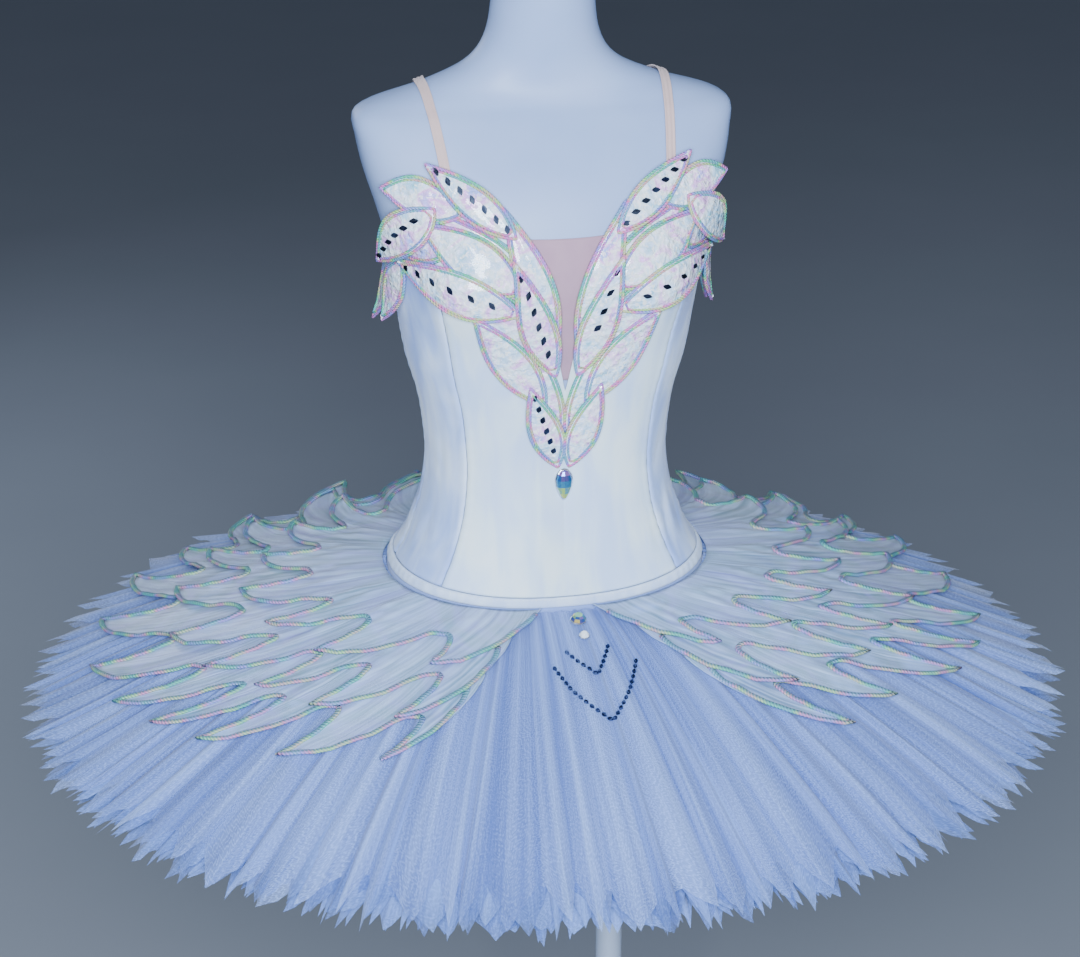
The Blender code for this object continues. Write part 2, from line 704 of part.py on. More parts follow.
# ================================================================ leaves and jewels
def make_leaf(row, side, collection):
    """A pointed leaf laid on the bodice at its level, its tip standing off by flare."""
    start_angle, end_angle = math.radians(row.root_deg), math.radians(row.tip_deg)
    lift = BODICE_CLEAR + BODICE_WALL + LEAF_LIFT + LEAF_WALL / 2
    middle = FRONT + (start_angle + end_angle) / 2
    nearby = on_form(middle + LEAF_STEP_ANGLE, row.root_z) - on_form(middle - LEAF_STEP_ANGLE, row.root_z)
    per_radian = nearby.length / (2 * LEAF_STEP_ANGLE)
    run = Vector(((end_angle - start_angle) * per_radian, row.tip_z - row.root_z)).normalized()

    def place(u, v):
        across = 2 * u - 1
        half = 0.0
        if 0 < v < 1:
            half = row.width / 2 * math.sin(math.pi * v**LEAF_BELLY) ** LEAF_FULLNESS
        angle = start_angle + (end_angle - start_angle) * v - across * half * run.y / per_radian
        z = row.root_z + (row.tip_z - row.root_z) * v + across * half * run.x
        level = row.root_level + (row.level - row.root_level) * min(1, v / ROOT_LENGTH)
        crown = LEAF_CROWN * (1 - across * across) * math.sin(math.pi * v)
        out = lift + level * LEAF_STEP + crown + row.flare * v * v
        return on_form(FRONT + side * angle, z, out)

    name = mirrored(row.name, side)
    cloth(name, LEAF_COLUMNS, LEAF_ROWS, place, LEAF_WALL, "pearl_cloth", collection)


def make_drop_jewel(collection):
    """A cut drop stone below the point of the neckline."""
    bm = bmesh.new()
    bmesh.ops.create_uvsphere(bm, u_segments=10, v_segments=6, radius=0.5)
    for vert in bm.verts:
        if vert.co.z < 0:
            vert.co.x *= 1 + DROP_JEWEL_TAPER * vert.co.z
            vert.co.z *= DROP_JEWEL_STRETCH
        vert.co.x *= DROP_JEWEL_WIDTH
        vert.co.y *= DROP_JEWEL_DEPTH
        vert.co.z *= DROP_JEWEL_HEIGHT
    jewel = add_object("drop_jewel", bm, collection, "crystal")
    clear = BODICE_CLEAR + BODICE_WALL + DROP_JEWEL_CLEAR + DROP_JEWEL_DEPTH / 2
    jewel.location = on_form(FRONT, DROP_JEWEL_Z, clear)


def main():
    collection, cutters = start_scene()
    make_form(collection, cutters)
    make_stand(collection)
    make_bodice(collection)
    make_insert(collection)
    make_straps(collection)
    make_binding(collection)
    make_yoke(collection)
    make_brief(collection)
    for row in SKIRTS:
        make_skirt(row, collection)
    for side in (1, -1):
        for row in TIERS:
            make_tier(row, side, collection)
        for row in LEAVES:
            make_leaf(row, side, collection)
    make_drop_jewel(collection)


main()
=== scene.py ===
"""A classical tutu on its dress form: boned satin bodice, pleated net, feathered satin, leaves and stones.

Metres, +Z up. The wearer faces -Y and +X is the wearer's left. Every cloth piece is laid out from the form's
own surface, so it keeps the form's distance all round. A side is 1 on the wearer's left and -1 on the right.
"""

import math
from collections import namedtuple
from contextlib import contextmanager

import bpy
import numpy as np
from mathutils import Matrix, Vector


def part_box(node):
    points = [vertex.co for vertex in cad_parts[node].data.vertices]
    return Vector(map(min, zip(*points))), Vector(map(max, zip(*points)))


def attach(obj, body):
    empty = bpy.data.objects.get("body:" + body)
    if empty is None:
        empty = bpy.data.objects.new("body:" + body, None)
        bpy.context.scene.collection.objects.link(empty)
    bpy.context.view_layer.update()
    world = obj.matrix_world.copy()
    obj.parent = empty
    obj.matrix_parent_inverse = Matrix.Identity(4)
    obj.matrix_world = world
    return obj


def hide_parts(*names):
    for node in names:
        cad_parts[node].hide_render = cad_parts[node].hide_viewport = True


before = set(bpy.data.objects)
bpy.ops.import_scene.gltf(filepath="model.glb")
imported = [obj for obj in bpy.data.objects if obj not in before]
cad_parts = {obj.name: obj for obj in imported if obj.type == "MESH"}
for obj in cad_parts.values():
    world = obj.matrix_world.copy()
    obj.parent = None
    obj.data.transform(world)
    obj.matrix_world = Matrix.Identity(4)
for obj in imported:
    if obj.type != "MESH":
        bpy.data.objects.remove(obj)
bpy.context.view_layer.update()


def table(fields, *rows):
    """Rows whose values have names."""
    row = namedtuple("Row", fields)
    return [row(*values) for values in rows]


# ================================================================ the form, as in the part
SECTIONS = table(
    "z half_width front back middle_y squareness",
    (0.865, 0.156, 0.100, 0.118, 0.000, 2.3),
    (0.900, 0.156, 0.100, 0.118, 0.000, 2.3),
    (0.934, 0.152, 0.099, 0.113, 0.000, 2.3),
    (0.966, 0.135, 0.094, 0.102, 0.000, 2.3),
    (0.987, 0.127, 0.091, 0.095, 0.000, 2.2),
    (1.013, 0.1185, 0.087, 0.087, 0.000, 2.2),
    (1.050, 0.1135, 0.083, 0.081, 0.000, 2.2),
    (1.080, 0.1150, 0.084, 0.081, 0.000, 2.2),
    (1.115, 0.1200, 0.088, 0.083, 0.000, 2.2),
    (1.155, 0.1310, 0.094, 0.087, 0.000, 2.2),
    (1.210, 0.1400, 0.100, 0.093, 0.000, 2.2),
    (1.255, 0.1480, 0.103, 0.099, 0.000, 2.2),
    (1.300, 0.1600, 0.096, 0.101, 0.001, 2.3),
    (1.337, 0.1710, 0.082, 0.098, 0.004, 2.5),
    (1.365, 0.1765, 0.066, 0.086, 0.009, 2.7),
    (1.386, 0.1780, 0.052, 0.068, 0.014, 2.7),
    (1.396, 0.1630, 0.046, 0.058, 0.018, 2.4),
    (1.410, 0.1170, 0.042, 0.048, 0.020, 2.1),
    (1.428, 0.0750, 0.042, 0.045, 0.020, 2.0),
    (1.450, 0.0560, 0.043, 0.045, 0.017, 2.0),
    (1.485, 0.0485, 0.044, 0.045, 0.013, 2.0),
    (1.530, 0.0475, 0.044, 0.045, 0.008, 2.0),
)
FRONT = math.radians(270)
TRUNK_RADIUS = 0.125
BOWL_DEPTH = 0.075
NECK_DOME = 0.004
FORM_CUP = 0.003
INSERT_CUP = 0.0035
BODICE_CUP = 0.017
CUP_Z = 1.238
CUP_SPREAD_Z = 0.045
CUP_ANGLE = math.radians(36)
CUP_SPREAD_ANGLE = math.radians(20)
CUP_SIDEWAYS = 0.35
SHOULDER_CENTRE_Z = 1.330
SHOULDER_REACH = 0.2
HALVINGS = 30
KNIT_WALL = 0.0007
STEP_ANGLE = 0.01
STEP_Z = 0.002

# ---------------------------------------------------------------- distances from the form, and walls
SEAM_GAP = 0.0003
STRAP_CLEAR = 0.0014
BODICE_CLEAR = 0.0028
BODICE_WALL = 0.0016
SATIN_WALL = 0.0011
BINDING_WALL = 0.0036
BINDING_HEIGHT = 0.010

# ---------------------------------------------------------------- the bodice's cut
PRINCESS_FRONT = math.radians(47)
PRINCESS_BACK = math.radians(42)
HEM_SIDE_Z = 0.936
HEM_FRONT_DIP = 0.012
HEM_BACK_DIP = 0.004
# The angle from the centre front in degrees, and the height of the top edge there.
TOP_EDGE = [
    (0, 1.142),
    (3, 1.190),
    (8, 1.256),
    (14, 1.288),
    (21, 1.300),
    (30, 1.313),
    (38, 1.323),
    (47, 1.315),
    (62, 1.286),
    (78, 1.262),
    (90, 1.256),
    (112, 1.250),
    (138, 1.236),
    (160, 1.222),
    (180, 1.216),
]
INSERT_TOP_Z = 1.293
INSERT_TOP_SAG = 0.003
INSERT_BOTTOM_Z = 1.152
INSERT_TUCK = math.radians(2.5)
INSERT_CLEAR = 0.0006
STRAP_WIDTH = 0.009
STRAP_X_FRONT = 0.102
STRAP_X_SHOULDER = 0.115
STRAP_X_BACK = 0.068
STRAP_FRONT_TURN = math.radians(-9)
STRAP_BACK_TURN = math.radians(233)
STRAP_TOP = 0.45
STRAP_BACK_CURVE = 1.5
YOKE_BOTTOM_Z = 0.868
GUSSET_HALF_WIDTH = 0.032

# ---------------------------------------------------------------- the skirts' shape
RIM_HALF_WIDTH = 0.522
RIM_HALF_DEPTH = 0.500
RIM_DROP = 0.132
DROOP_POWER = 1.35
NET_SEAT_OUT = 0.0048
FRONT_SHARE = 0.70
FRONT_SPAN_DEG = 85


# ================================================================ the form's surface, for arrays of points
def power(value, exponent):
    """The values' size to this power, with their sign."""
    return np.copysign(np.abs(value) ** exponent, value)


def between(low, high, part):
    """The value this part of the way from low to high."""
    return low + (high - low) * part


def bell(value, width):
    """1 at 0, falling away over this width on both sides."""
    return np.exp(-((value / width) ** 2))


def section_at(z):
    """Half width, front, back, middle_y and squareness at these heights, on a smooth curve."""
    rows = np.array(SECTIONS)
    z = np.clip(z, rows[0, 0], rows[-1, 0])
    i = np.clip(np.searchsorted(rows[:, 0], z, side="right") - 1, 0, len(rows) - 2)
    low, high = rows[i], rows[i + 1]
    before, after = rows[np.maximum(i - 1, 0)], rows[np.minimum(i + 2, len(rows) - 1)]
    span = (high - low)[..., :1]
    t = (z[..., None] - low[..., :1]) / span
    slope_low = (high - before) / (high - before)[..., :1]
    slope_high = (after - low) / (after - low)[..., :1]
    curve = (2 * t**3 - 3 * t**2 + 1) * low + (t**3 - 2 * t**2 + t) * span * slope_low
    curve = curve + (3 * t**2 - 2 * t**3) * high + (t**3 - t**2) * span * slope_high
    return np.moveaxis(curve[..., 1:], -1, 0)


def wrapped(angle):
    """Angles brought between minus half a turn and half a turn."""
    return (angle + math.pi) % math.tau - math.pi


def unit(vectors):
    return vectors / np.maximum(np.linalg.norm(vectors, axis=-1, keepdims=True), 1e-12)


def cup(angle, z, height):
    """How far the two bust cups stand out at these points."""
    total = 0.0
    for side in (-1, 1):
        away = wrapped(angle - FRONT - side * CUP_ANGLE)
        total = total + height * bell(away, CUP_SPREAD_ANGLE) * bell(z - CUP_Z, CUP_SPREAD_Z)
    return total


def on_section(angle, z, bust=BODICE_CUP):
    """Points of the surface at these angles and heights: 0 is the wearer's left and 270 degrees the front."""
    angle, z = np.broadcast_arrays(np.asarray(angle, float), np.asarray(z, float))
    half_width, front, back, middle_y, squareness = section_at(z)
    c, s = np.cos(angle), np.sin(angle)
    x = half_width * power(c, 2 / squareness)
    y = middle_y + np.where(s < 0, front, back) * power(s, 2 / squareness)
    outward = unit(np.stack([CUP_SIDEWAYS * c, s, 0 * c], -1))
    return np.stack([x, y, z], -1) + outward * cup(angle, z, bust)[..., None]


def normal_of(angle, z, bust=BODICE_CUP):
    """The way off the surface at these points."""
    round_it = on_section(angle + STEP_ANGLE, z, bust) - on_section(angle - STEP_ANGLE, z, bust)
    low = np.maximum(z - STEP_Z, SECTIONS[0].z)
    high = np.minimum(z + STEP_Z, SECTIONS[-1].z)
    return unit(np.cross(round_it, on_section(angle, high, bust) - on_section(angle, low, bust)))


def on_form(angle, z, out=0.0, bust=BODICE_CUP):
    """Points this far out of the surface, along its normal."""
    angle, z, out = np.broadcast_arrays(*(np.asarray(value, float) for value in (angle, z, out)))
    return on_section(angle, z, bust) + normal_of(angle, z, bust) * out[..., None]


def shoulder_centre():
    """The point inside the chest that the straps' paths turn round, seen from the side."""
    return np.array([0, section_at(np.array(SHOULDER_CENTRE_Z))[3], SHOULDER_CENTRE_Z])


def along_ray(x, turn, reach):
    """Points at this x and this far from the shoulder's centre, seen from the side."""
    centre = shoulder_centre()
    return np.stack([x, centre[1] - np.cos(turn) * reach, centre[2] + np.sin(turn) * reach], -1)


def over_shoulder(x, turn, out):
    """Points on the form's side view at these x, at turns from the front over the top to the back."""
    x, turn = np.broadcast_arrays(np.asarray(x, float), np.asarray(turn, float))
    near, far = np.zeros(x.shape), np.full(x.shape, SHOULDER_REACH)
    for _ in range(HALVINGS):
        middle = (near + far) / 2
        _, y, z = np.moveaxis(along_ray(x, turn, middle), -1, 0)
        half_width, front, back, middle_y, squareness = section_at(z)
        depth = np.where(y < middle_y, front, back)
        inside = np.abs(x / half_width) ** squareness + np.abs((y - middle_y) / depth) ** squareness < 1
        near, far = np.where(inside, middle, near), np.where(inside, far, middle)
    return along_ray(x, turn, near + out)


def top_edge_z(angle):
    """The height of the bodice's top edge at these angles."""
    table = np.array(TOP_EDGE)
    return np.interp(np.degrees(np.abs(wrapped(angle - FRONT))), table[:, 0], table[:, 1])


def hem_z(angle):
    """The height of the bodice's lower edge, which dips at the front and a little at the back."""
    forward = -np.sin(angle)
    return HEM_SIDE_Z - np.where(forward > 0, HEM_FRONT_DIP, HEM_BACK_DIP) * forward**2


def skirt_point(angle, share, seat, sink=0.0):
    """Points on a skirt's smooth surface: share is 0 at the yoke and 1 at the rim."""
    angle, share = np.broadcast_arrays(np.asarray(angle, float), np.asarray(share, float))
    start_z = hem_z(angle) - seat
    start = on_form(angle, start_z, NET_SEAT_OUT)
    end = np.stack([RIM_HALF_WIDTH * np.cos(angle), RIM_HALF_DEPTH * np.sin(angle), 0 * angle], -1)
    point = start + (end - start) * share[..., None]
    hang = RIM_DROP - (HEM_SIDE_Z - hem_z(angle))
    point[..., 2] = start_z - hang * np.abs(share) ** DROOP_POWER - sink * share
    return point


# ================================================================ making meshes
ROOT = "root"
UV_NAME = "weave"


def side_name(name, side):
    return name + ("_left" if side > 0 else "_right")


def placed(name, data):
    """An object in the scene."""
    obj = bpy.data.objects.new(name, data)
    bpy.context.scene.collection.objects.link(obj)
    return obj


def mesh_object(name, points, faces, finish, corners=None):
    """An object at the origin. Cloth is smooth, and has each corner's place on the cloth, in metres."""
    mesh = bpy.data.meshes.new(name)
    mesh.from_pydata(points.reshape(-1, 3).tolist(), [], faces)
    mesh.materials.append(FINISH[finish])
    if corners is not None:
        layer = mesh.uv_layers.new(name=UV_NAME)
        layer.data.foreach_set("uv", np.ascontiguousarray(corners, np.float32).ravel())
        mesh.polygons.foreach_set("use_smooth", [True] * len(mesh.polygons))
    obj = placed(name, mesh)
    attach(obj, ROOT)
    return obj


def running(steps):
    """The sum of the steps so far, from 0."""
    return np.concatenate([[0.0], np.cumsum(steps)])


def steps_of(points, axis=0):
    """The distance from each point of a path, or of the lines of a grid, to the next."""
    return np.linalg.norm(np.diff(points, axis=axis), axis=-1)


def lengths_along(path):
    """How far along a path each of its points is."""
    return running(steps_of(path))


def points_at(lengths, path, steps):
    """Points at these lengths along a path; steps is how far along each of its own points is."""
    return np.stack([np.interp(lengths, steps, path[:, axis]) for axis in range(3)], -1)


def arc(points, axis):
    """How far along an axis of a grid each point is, averaged over the other axis, in metres."""
    return running(steps_of(points, axis).mean(axis=1 - axis))


def grid_faces(rows, columns, ring=False, tube=False, flip=False):
    """Quads over a grid of rows by columns. ring joins the last column to the first, tube the last row."""
    r, c = np.meshgrid(
        np.arange(rows if tube else rows - 1), np.arange(columns if ring else columns - 1), indexing="ij"
    )
    near, far = r * columns, (r + 1) % rows * columns
    right = (c + 1) % columns
    quads = np.stack([near + c, near + right, far + right, far + c], -1).reshape(-1, 4)
    places = np.stack([c, r, c + 1, r, c + 1, r + 1, c, r + 1], -1).reshape(-1, 4, 2)
    if flip:
        return quads[:, ::-1], places[:, ::-1]
    return quads, places


def cloth(name, points, finish, ring=False, flip=False, wall=0.0, uv=None):
    """Cloth from a grid of points. A wall is added inwards, and uv gives the grid's own lengths."""
    rows, columns = points.shape[:2]
    quads, places = grid_faces(rows, columns, ring, flip=flip)
    if uv is None:
        around = np.concatenate([points, points[:, :1]], 1) if ring else points
        uv = arc(around, 1), arc(points, 0)
    corners = np.stack([uv[0][places[..., 0]], uv[1][places[..., 1]]], -1)
    obj = mesh_object(name, points, quads.tolist(), finish, corners)
    if wall:
        thicken(obj, wall)
    return obj


def thicken(obj, wall):
    """Gives cloth its wall, inwards from the face that shows."""
    modifier = obj.modifiers.new("wall", "SOLIDIFY")
    modifier.thickness = wall
    modifier.offset = -1
    modifier.use_even_offset = False
    select_only(obj)
    bpy.ops.object.modifier_apply(modifier=modifier.name)


def primitive(kind, **settings):
    """A new primitive with nothing else selected."""
    bpy.ops.object.select_all(action="DESELECT")
    getattr(bpy.ops.mesh, f"primitive_{kind}_add")(**settings)
    return bpy.context.object


def select_only(obj):
    bpy.ops.object.select_all(action="DESELECT")
    obj.select_set(True)
    bpy.context.view_layer.objects.active = obj


@contextmanager
def editing():
    """The active object in edit mode with all of its mesh selected."""
    bpy.ops.object.mode_set(mode="EDIT")
    bpy.ops.mesh.select_all(action="SELECT")
    yield
    bpy.ops.object.mode_set(mode="OBJECT")


def joined(name, parts, finish):
    """One piece from several (points, quads, corners) lists."""
    points, quads, corners = zip(*parts)
    starts = np.cumsum([0] + [len(part) for part in points])
    quads = np.concatenate([part + start for part, start in zip(quads, starts)])
    return mesh_object(name, np.concatenate(points), quads.tolist(), finish, np.concatenate(corners))


def tube_part(path, radius, up, sides=6, loop=False, taper=0.0, wide=1.0):
    """A cord along a path. up is a direction off the path at each point; taper narrows both ends."""
    count = len(path)
    if loop:
        along = unit(np.roll(path, -1, 0) - np.roll(path, 1, 0))
    else:
        along = unit(np.gradient(path, axis=0))
    across = unit(np.cross(along, up))
    lift = np.cross(across, along)
    turn = np.arange(sides) * math.tau / sides
    part = np.linspace(0, 1, count)
    narrow = 1 - taper * np.clip(np.abs(2 * part - 1) * 12 - 11, 0, 1)
    ring = wide * np.cos(turn)[None, :, None] * across[:, None] + np.sin(turn)[None, :, None] * lift[:, None]
    points = path[:, None] + ring * (radius * narrow)[:, None, None]
    quads, places = grid_faces(count, sides, ring=True, tube=loop, flip=True)
    lengths = lengths_along(np.concatenate([path, path[:1]]) if loop else path)
    corner = np.stack([places[..., 0] / sides, lengths[places[..., 1]]], -1)
    if not loop:
        points, quads, corner = with_ends(points, quads, corner, path, count, sides)
    return points.reshape(-1, 3), quads, corner


def with_ends(points, quads, corner, path, count, sides):
    """A tube's points, quads and corners with both ends closed by a fan round a middle point."""
    flat = np.concatenate([points.reshape(-1, 3), path[:1], path[-1:]])
    first, last, last_ring = count * sides, count * sides + 1, (count - 1) * sides
    caps, ends = [], []
    for a in range(0, sides, 2):
        b, c = (a + 1) % sides, (a + 2) % sides
        caps.append([first, a, b, c])
        caps.append([last, last_ring + c, last_ring + b, last_ring + a])
        ends += [[[0.5, 0]] * 4] * 2
    return flat, np.concatenate([quads, caps]), np.concatenate([corner, ends])


def crowded(count, strength=1.0):
    """Steps from 0 to 1 that lie closer together at both ends."""
    even = np.linspace(0, 1, count)
    return even * (1 - strength) + strength * (1 - np.cos(math.pi * even)) / 2


def sheet(node):
    """Hides the part's node that a piece stands for, if it has one."""
    if node:
        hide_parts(node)


# ================================================================ finishes
class Value:
    """An output among a material's nodes. Arithmetic with it adds Math nodes."""

    def __init__(self, paint, socket):
        self.paint = paint
        self.socket = socket

    def math(self, operation, *values):
        return self.paint.node("ShaderNodeMath", {"operation": operation}, dict(enumerate(values)))

    def sine(self):
        return self.math("SINE", self)

    def within(self, low, high):
        return self.math("MINIMUM", self.math("MAXIMUM", self, low), high)

    def step(self, start, end):
        """0 below start and 1 above end, eased between them."""
        inputs = {"Value": self, "From Min": start, "From Max": end}
        return self.paint.node("ShaderNodeMapRange", {"interpolation_type": "SMOOTHSTEP"}, inputs)


def arithmetic(operation, swapped=False):
    """The method of Value for one of Python's operators."""
    return lambda self, other: self.math(operation, *((other, self) if swapped else (self, other)))


for sign, operation in (("add", "ADD"), ("sub", "SUBTRACT"), ("mul", "MULTIPLY"), ("pow", "POWER")):
    setattr(Value, f"__{sign}__", arithmetic(operation))
    setattr(Value, f"__r{sign}__", arithmetic(operation, operation in ("SUBTRACT", "POWER")))


class Paint:
    """A material with one principled shader, and the few kinds of node that the finishes are made from."""

    def __init__(self, name, **constants):
        self.material = bpy.data.materials.new(name)
        self.material.use_nodes = True
        self.tree = self.material.node_tree
        self.shader = self.tree.nodes["Principled BSDF"]
        for socket, value in constants.items():
            self.shader.inputs[socket.replace("_", " ")].default_value = value

    def node(self, kind, settings, inputs, output=0):
        made = self.tree.nodes.new(kind)
        for setting, value in settings.items():
            if setting == "stops":
                self.set_stops(made.color_ramp, value)
            else:
                setattr(made, setting, value)
        for place, value in inputs.items():
            self.feed(made.inputs[place], value)
        return Value(self, made.outputs[output])

    def set_stops(self, ramp, stops):
        for i, (position, colour) in enumerate(stops):
            stop = ramp.elements[i] if i < 2 else ramp.elements.new(position)
            stop.position = position
            stop.color = (*colour, 1.0)

    def feed(self, socket, value):
        if isinstance(value, Value):
            self.tree.links.new(value.socket, socket)
        elif isinstance(value, tuple) and len(value) == 3 and socket.type == "RGBA":
            socket.default_value = (*value, 1.0)
        else:
            socket.default_value = value

    def drive(self, **values):
        for socket, value in values.items():
            self.feed(self.shader.inputs[socket.replace("_", " ")], value)
        return self.material

    def place(self, stretch=(1, 1, 1)):
        """The point on the object, with its axes stretched."""
        return self.stretched(self.node("ShaderNodeTexCoord", {}, {}, "Object"), stretch)

    def stretched(self, vector, stretch):
        return self.node("ShaderNodeVectorMath", {"operation": "MULTIPLY"}, {0: vector, 1: stretch})

    def on_cloth(self, x, y):
        """The point on the piece's own cloth, in metres times these."""
        return self.stretched(self.node("ShaderNodeUVMap", {"uv_map": UV_NAME}, {}), (x, y, 1))

    def waves(self, across, along):
        """Where a point is in waves this long across the cloth and along it, as two angles."""
        at = self.on_cloth(math.tau / across, math.tau / along)
        return [self.node("ShaderNodeSeparateXYZ", {}, {0: at}, axis) for axis in (0, 1)]

    def noise(self, scale, detail=2.0, distortion=0.0, stretch=(1, 1, 1)):
        """Noise through the object, so many to the metre."""
        inputs = {"Vector": self.place(stretch), "Scale": scale, "Detail": detail, "Distortion": distortion}
        return self.node("ShaderNodeTexNoise", {}, inputs)

    def cloth_noise(self, x, y, detail=2.0, distortion=0.0):
        """Noise over the piece's own cloth, so many to the metre across it and along it."""
        inputs = {"Vector": self.on_cloth(x, y), "Scale": 1.0, "Detail": detail, "Distortion": distortion}
        return self.node("ShaderNodeTexNoise", {"noise_dimensions": "2D"}, inputs)

    def threads(self, pitch):
        """How near the edges of the cloth's small cells a point is: 0 on a thread."""
        settings = {"feature": "DISTANCE_TO_EDGE", "voronoi_dimensions": "2D"}
        inputs = {"Vector": self.on_cloth(1 / pitch, 1 / pitch), "Scale": 1.0}
        return self.node("ShaderNodeTexVoronoi", settings, inputs)

    def attribute(self, name):
        return self.node("ShaderNodeAttribute", {"attribute_name": name}, {}, "Fac")

    def colours(self, factor, places, tones):
        """The tones in turn, each at its own place along the factor."""
        return self.node("ShaderNodeValToRGB", {"stops": list(zip(places, tones))}, {0: factor})

    def mix(self, factor, first, second):
        return self.node("ShaderNodeMix", {"data_type": "RGBA"}, {0: factor, 6: first, 7: second}, 2)

    def bump(self, height, distance, strength=1.0):
        inputs = {"Height": height, "Distance": distance, "Strength": strength}
        return self.node("ShaderNodeBump", {}, inputs)


def paint_satin(name, *tones):
    """Duchesse satin: cool white with a fine twill, and soft upright sheen and shade painted into its colour
    as mottling.
    """
    paint = Paint(name, IOR=1.46, Sheen_Weight=0.25, Sheen_Roughness=0.35, Specular_IOR_Level=0.45)
    # Painted sheen and shade: upright mottling that lightens and darkens the colour.
    upright = paint.noise(34, 3, 0.6, (1, 1, 0.22))
    tone = (0.55 * upright + 0.45 * paint.noise(11)).step(0.36, 0.66)
    across, along = paint.waves(0.0007, 0.0007)
    grain = paint.bump(0.5 * (across + along).sine() + 2.0 * paint.noise(420), 0.00012, 0.55)
    colour = paint.colours(tone, (0.0, 0.5, 1.0), tones)
    return paint.drive(Base_Color=colour, Roughness=0.34 + 0.16 * upright, Normal=grain)


def paint_binding():
    """The same satin cut on the bias and stitched, so it catches light in short ripples: the ripples raise
    its bump and are painted lighter and darker in its colour, as painted highlight and shade.
    """
    paint = Paint("satin_binding", IOR=1.46, Sheen_Weight=0.25, Specular_IOR_Level=0.5)
    ripple = paint.noise(70, 2, 0.8, (1, 1, 0.4))
    across, along = paint.waves(0.0011, 0.0018)
    # Painted highlight and shade along the ripples.
    colour = paint.mix(ripple, (0.38, 0.53, 0.88), (0.74, 0.87, 1.0))
    normal = paint.bump(ripple + 0.08 * (across + along).sine(), 0.0016, 0.5)
    return paint.drive(Base_Color=colour, Roughness=0.30 + 0.15 * ripple, Normal=normal)


def paint_net(name, valley, crest, hole=None, closed=0.0):
    """Stiff net: fine threads, denser to the eye where a pleat stands on edge, and thinner at the free rim.
    Its colour is painted lighter on the pleats' crests and darker in their valleys, as painted highlight and
    shade.
    With no hole it is the close part, where many layers lie together."""
    paint = Paint(name, IOR=1.45, Sheen_Weight=0.3, Sheen_Roughness=0.5, Specular_IOR_Level=0.2)
    pleat = paint.attribute("pleat")
    thread = 1 - paint.threads(0.0018).step(0.05, 0.22)
    broad = paint.cloth_noise(38, 1.4)
    streak = paint.cloth_noise(300, 3.0, 1)
    # Painted shade and highlight along the pleats, with random tone from the two noises.
    shade_and_tone = 0.52 * pleat + 0.70 * (broad - 0.5) + 0.48 * (streak - 0.5)
    tone = (shade_and_tone + 0.32 * thread + 0.12).within(0.0, 1.0)
    if hole is not None:
        rim = paint.attribute("rim")
        body = hole + 0.30 * tone + closed * (1 - rim) - 0.26 * rim
        paint.drive(Alpha=(body + 0.16 * thread).within(0.0, 1.0))
    normal = paint.bump(streak, 0.0004, 0.35)
    # Painted shade in the pleats' valleys and painted highlight on their crests.
    colour = paint.mix(tone, valley, crest)
    return paint.drive(Base_Color=colour, Roughness=0.62 + 0.2 * streak, Normal=normal)


DRIFT_PLACES = (0.30, 0.40, 0.50, 0.60, 0.70)


def paint_feathers():
    """Thin satin with a pearl coat that drifts from grey-green to lilac, the pleats under it, and painted
    sheen streaks lighter over it.
    """
    film = {"Thin_Film_Thickness": 330.0, "Thin_Film_IOR": 1.38}
    paint = Paint("pearl_satin", IOR=1.5, Sheen_Weight=0.15, Coat_Roughness=0.22, **film)
    drift = paint.noise(9, 2, 1.2)
    tones = (0.09, 0.18, 0.40), (0.16, 0.30, 0.42), (0.24, 0.28, 0.64), (0.14, 0.27, 0.42), (0.24, 0.40, 0.84)
    grain = paint.cloth_noise(30, 7, 3, 0.8)
    pleats = paint.cloth_noise(130, 4)
    across, along = paint.waves(0.0009, 0.0009)
    normal = paint.bump(grain + 0.25 * pleats + 0.03 * (across - along).sine(), 0.0022, 0.5)
    # Painted sheen: lighter streaks where the pleats and grain rise.
    lit = (1.5 * pleats + 0.9 * grain - 0.76).within(0.0, 1.0)
    return paint.drive(
        Base_Color=paint.mix(lit, paint.colours(drift, DRIFT_PLACES, tones), (0.51, 0.69, 1.0)),
        Roughness=0.36 + 0.16 * drift,
        Coat_Weight=0.1 + 0.25 * grain,
        Normal=normal,
    )


def paint_leaves():
    """Crinkled pearl film over white cloth, broken into small facets, with small white glints painted into
    its colour.
    """
    paint = Paint("pearl_film", IOR=1.5, Coat_Roughness=0.08, Thin_Film_Thickness=490.0, Thin_Film_IOR=1.36)
    drift = paint.noise(30, 2, 1.2)
    tones = (0.30, 0.62, 0.80), (0.56, 0.76, 1.0), (0.80, 0.91, 1.0), (0.84, 0.44, 0.92), (0.38, 0.48, 1.0)
    inputs = {"Vector": paint.place(), "Scale": 150.0, "Randomness": 1.0}
    facets = paint.node("ShaderNodeTexVoronoi", {"feature": "F1"}, inputs)
    crease = paint.noise(120, 4, 2.0)
    # Painted glints: small spots of the colour turned white.
    glint = paint.noise(210, 2, 1.0).step(0.50, 0.62)
    return paint.drive(
        Base_Color=paint.mix(0.8 * glint, paint.colours(drift, DRIFT_PLACES, tones), (1.0, 1.0, 1.0)),
        Roughness=0.10 + 0.18 * crease,
        Coat_Weight=0.6 + 0.4 * drift,
        Normal=paint.bump(0.9 * crease + 0.7 * facets, 0.0036, 0.8),
    )


CORD_PLACES = (0.32, 0.40, 0.47, 0.54, 0.61, 0.69)
CORD_TONES = [
    (0.30, 0.22, 0.95),
    (0.06, 0.60, 0.36),
    (0.48, 0.86, 0.22),
    (1.00, 0.20, 0.50),
    (0.40, 0.24, 0.95),
    (0.10, 0.64, 0.56),
]


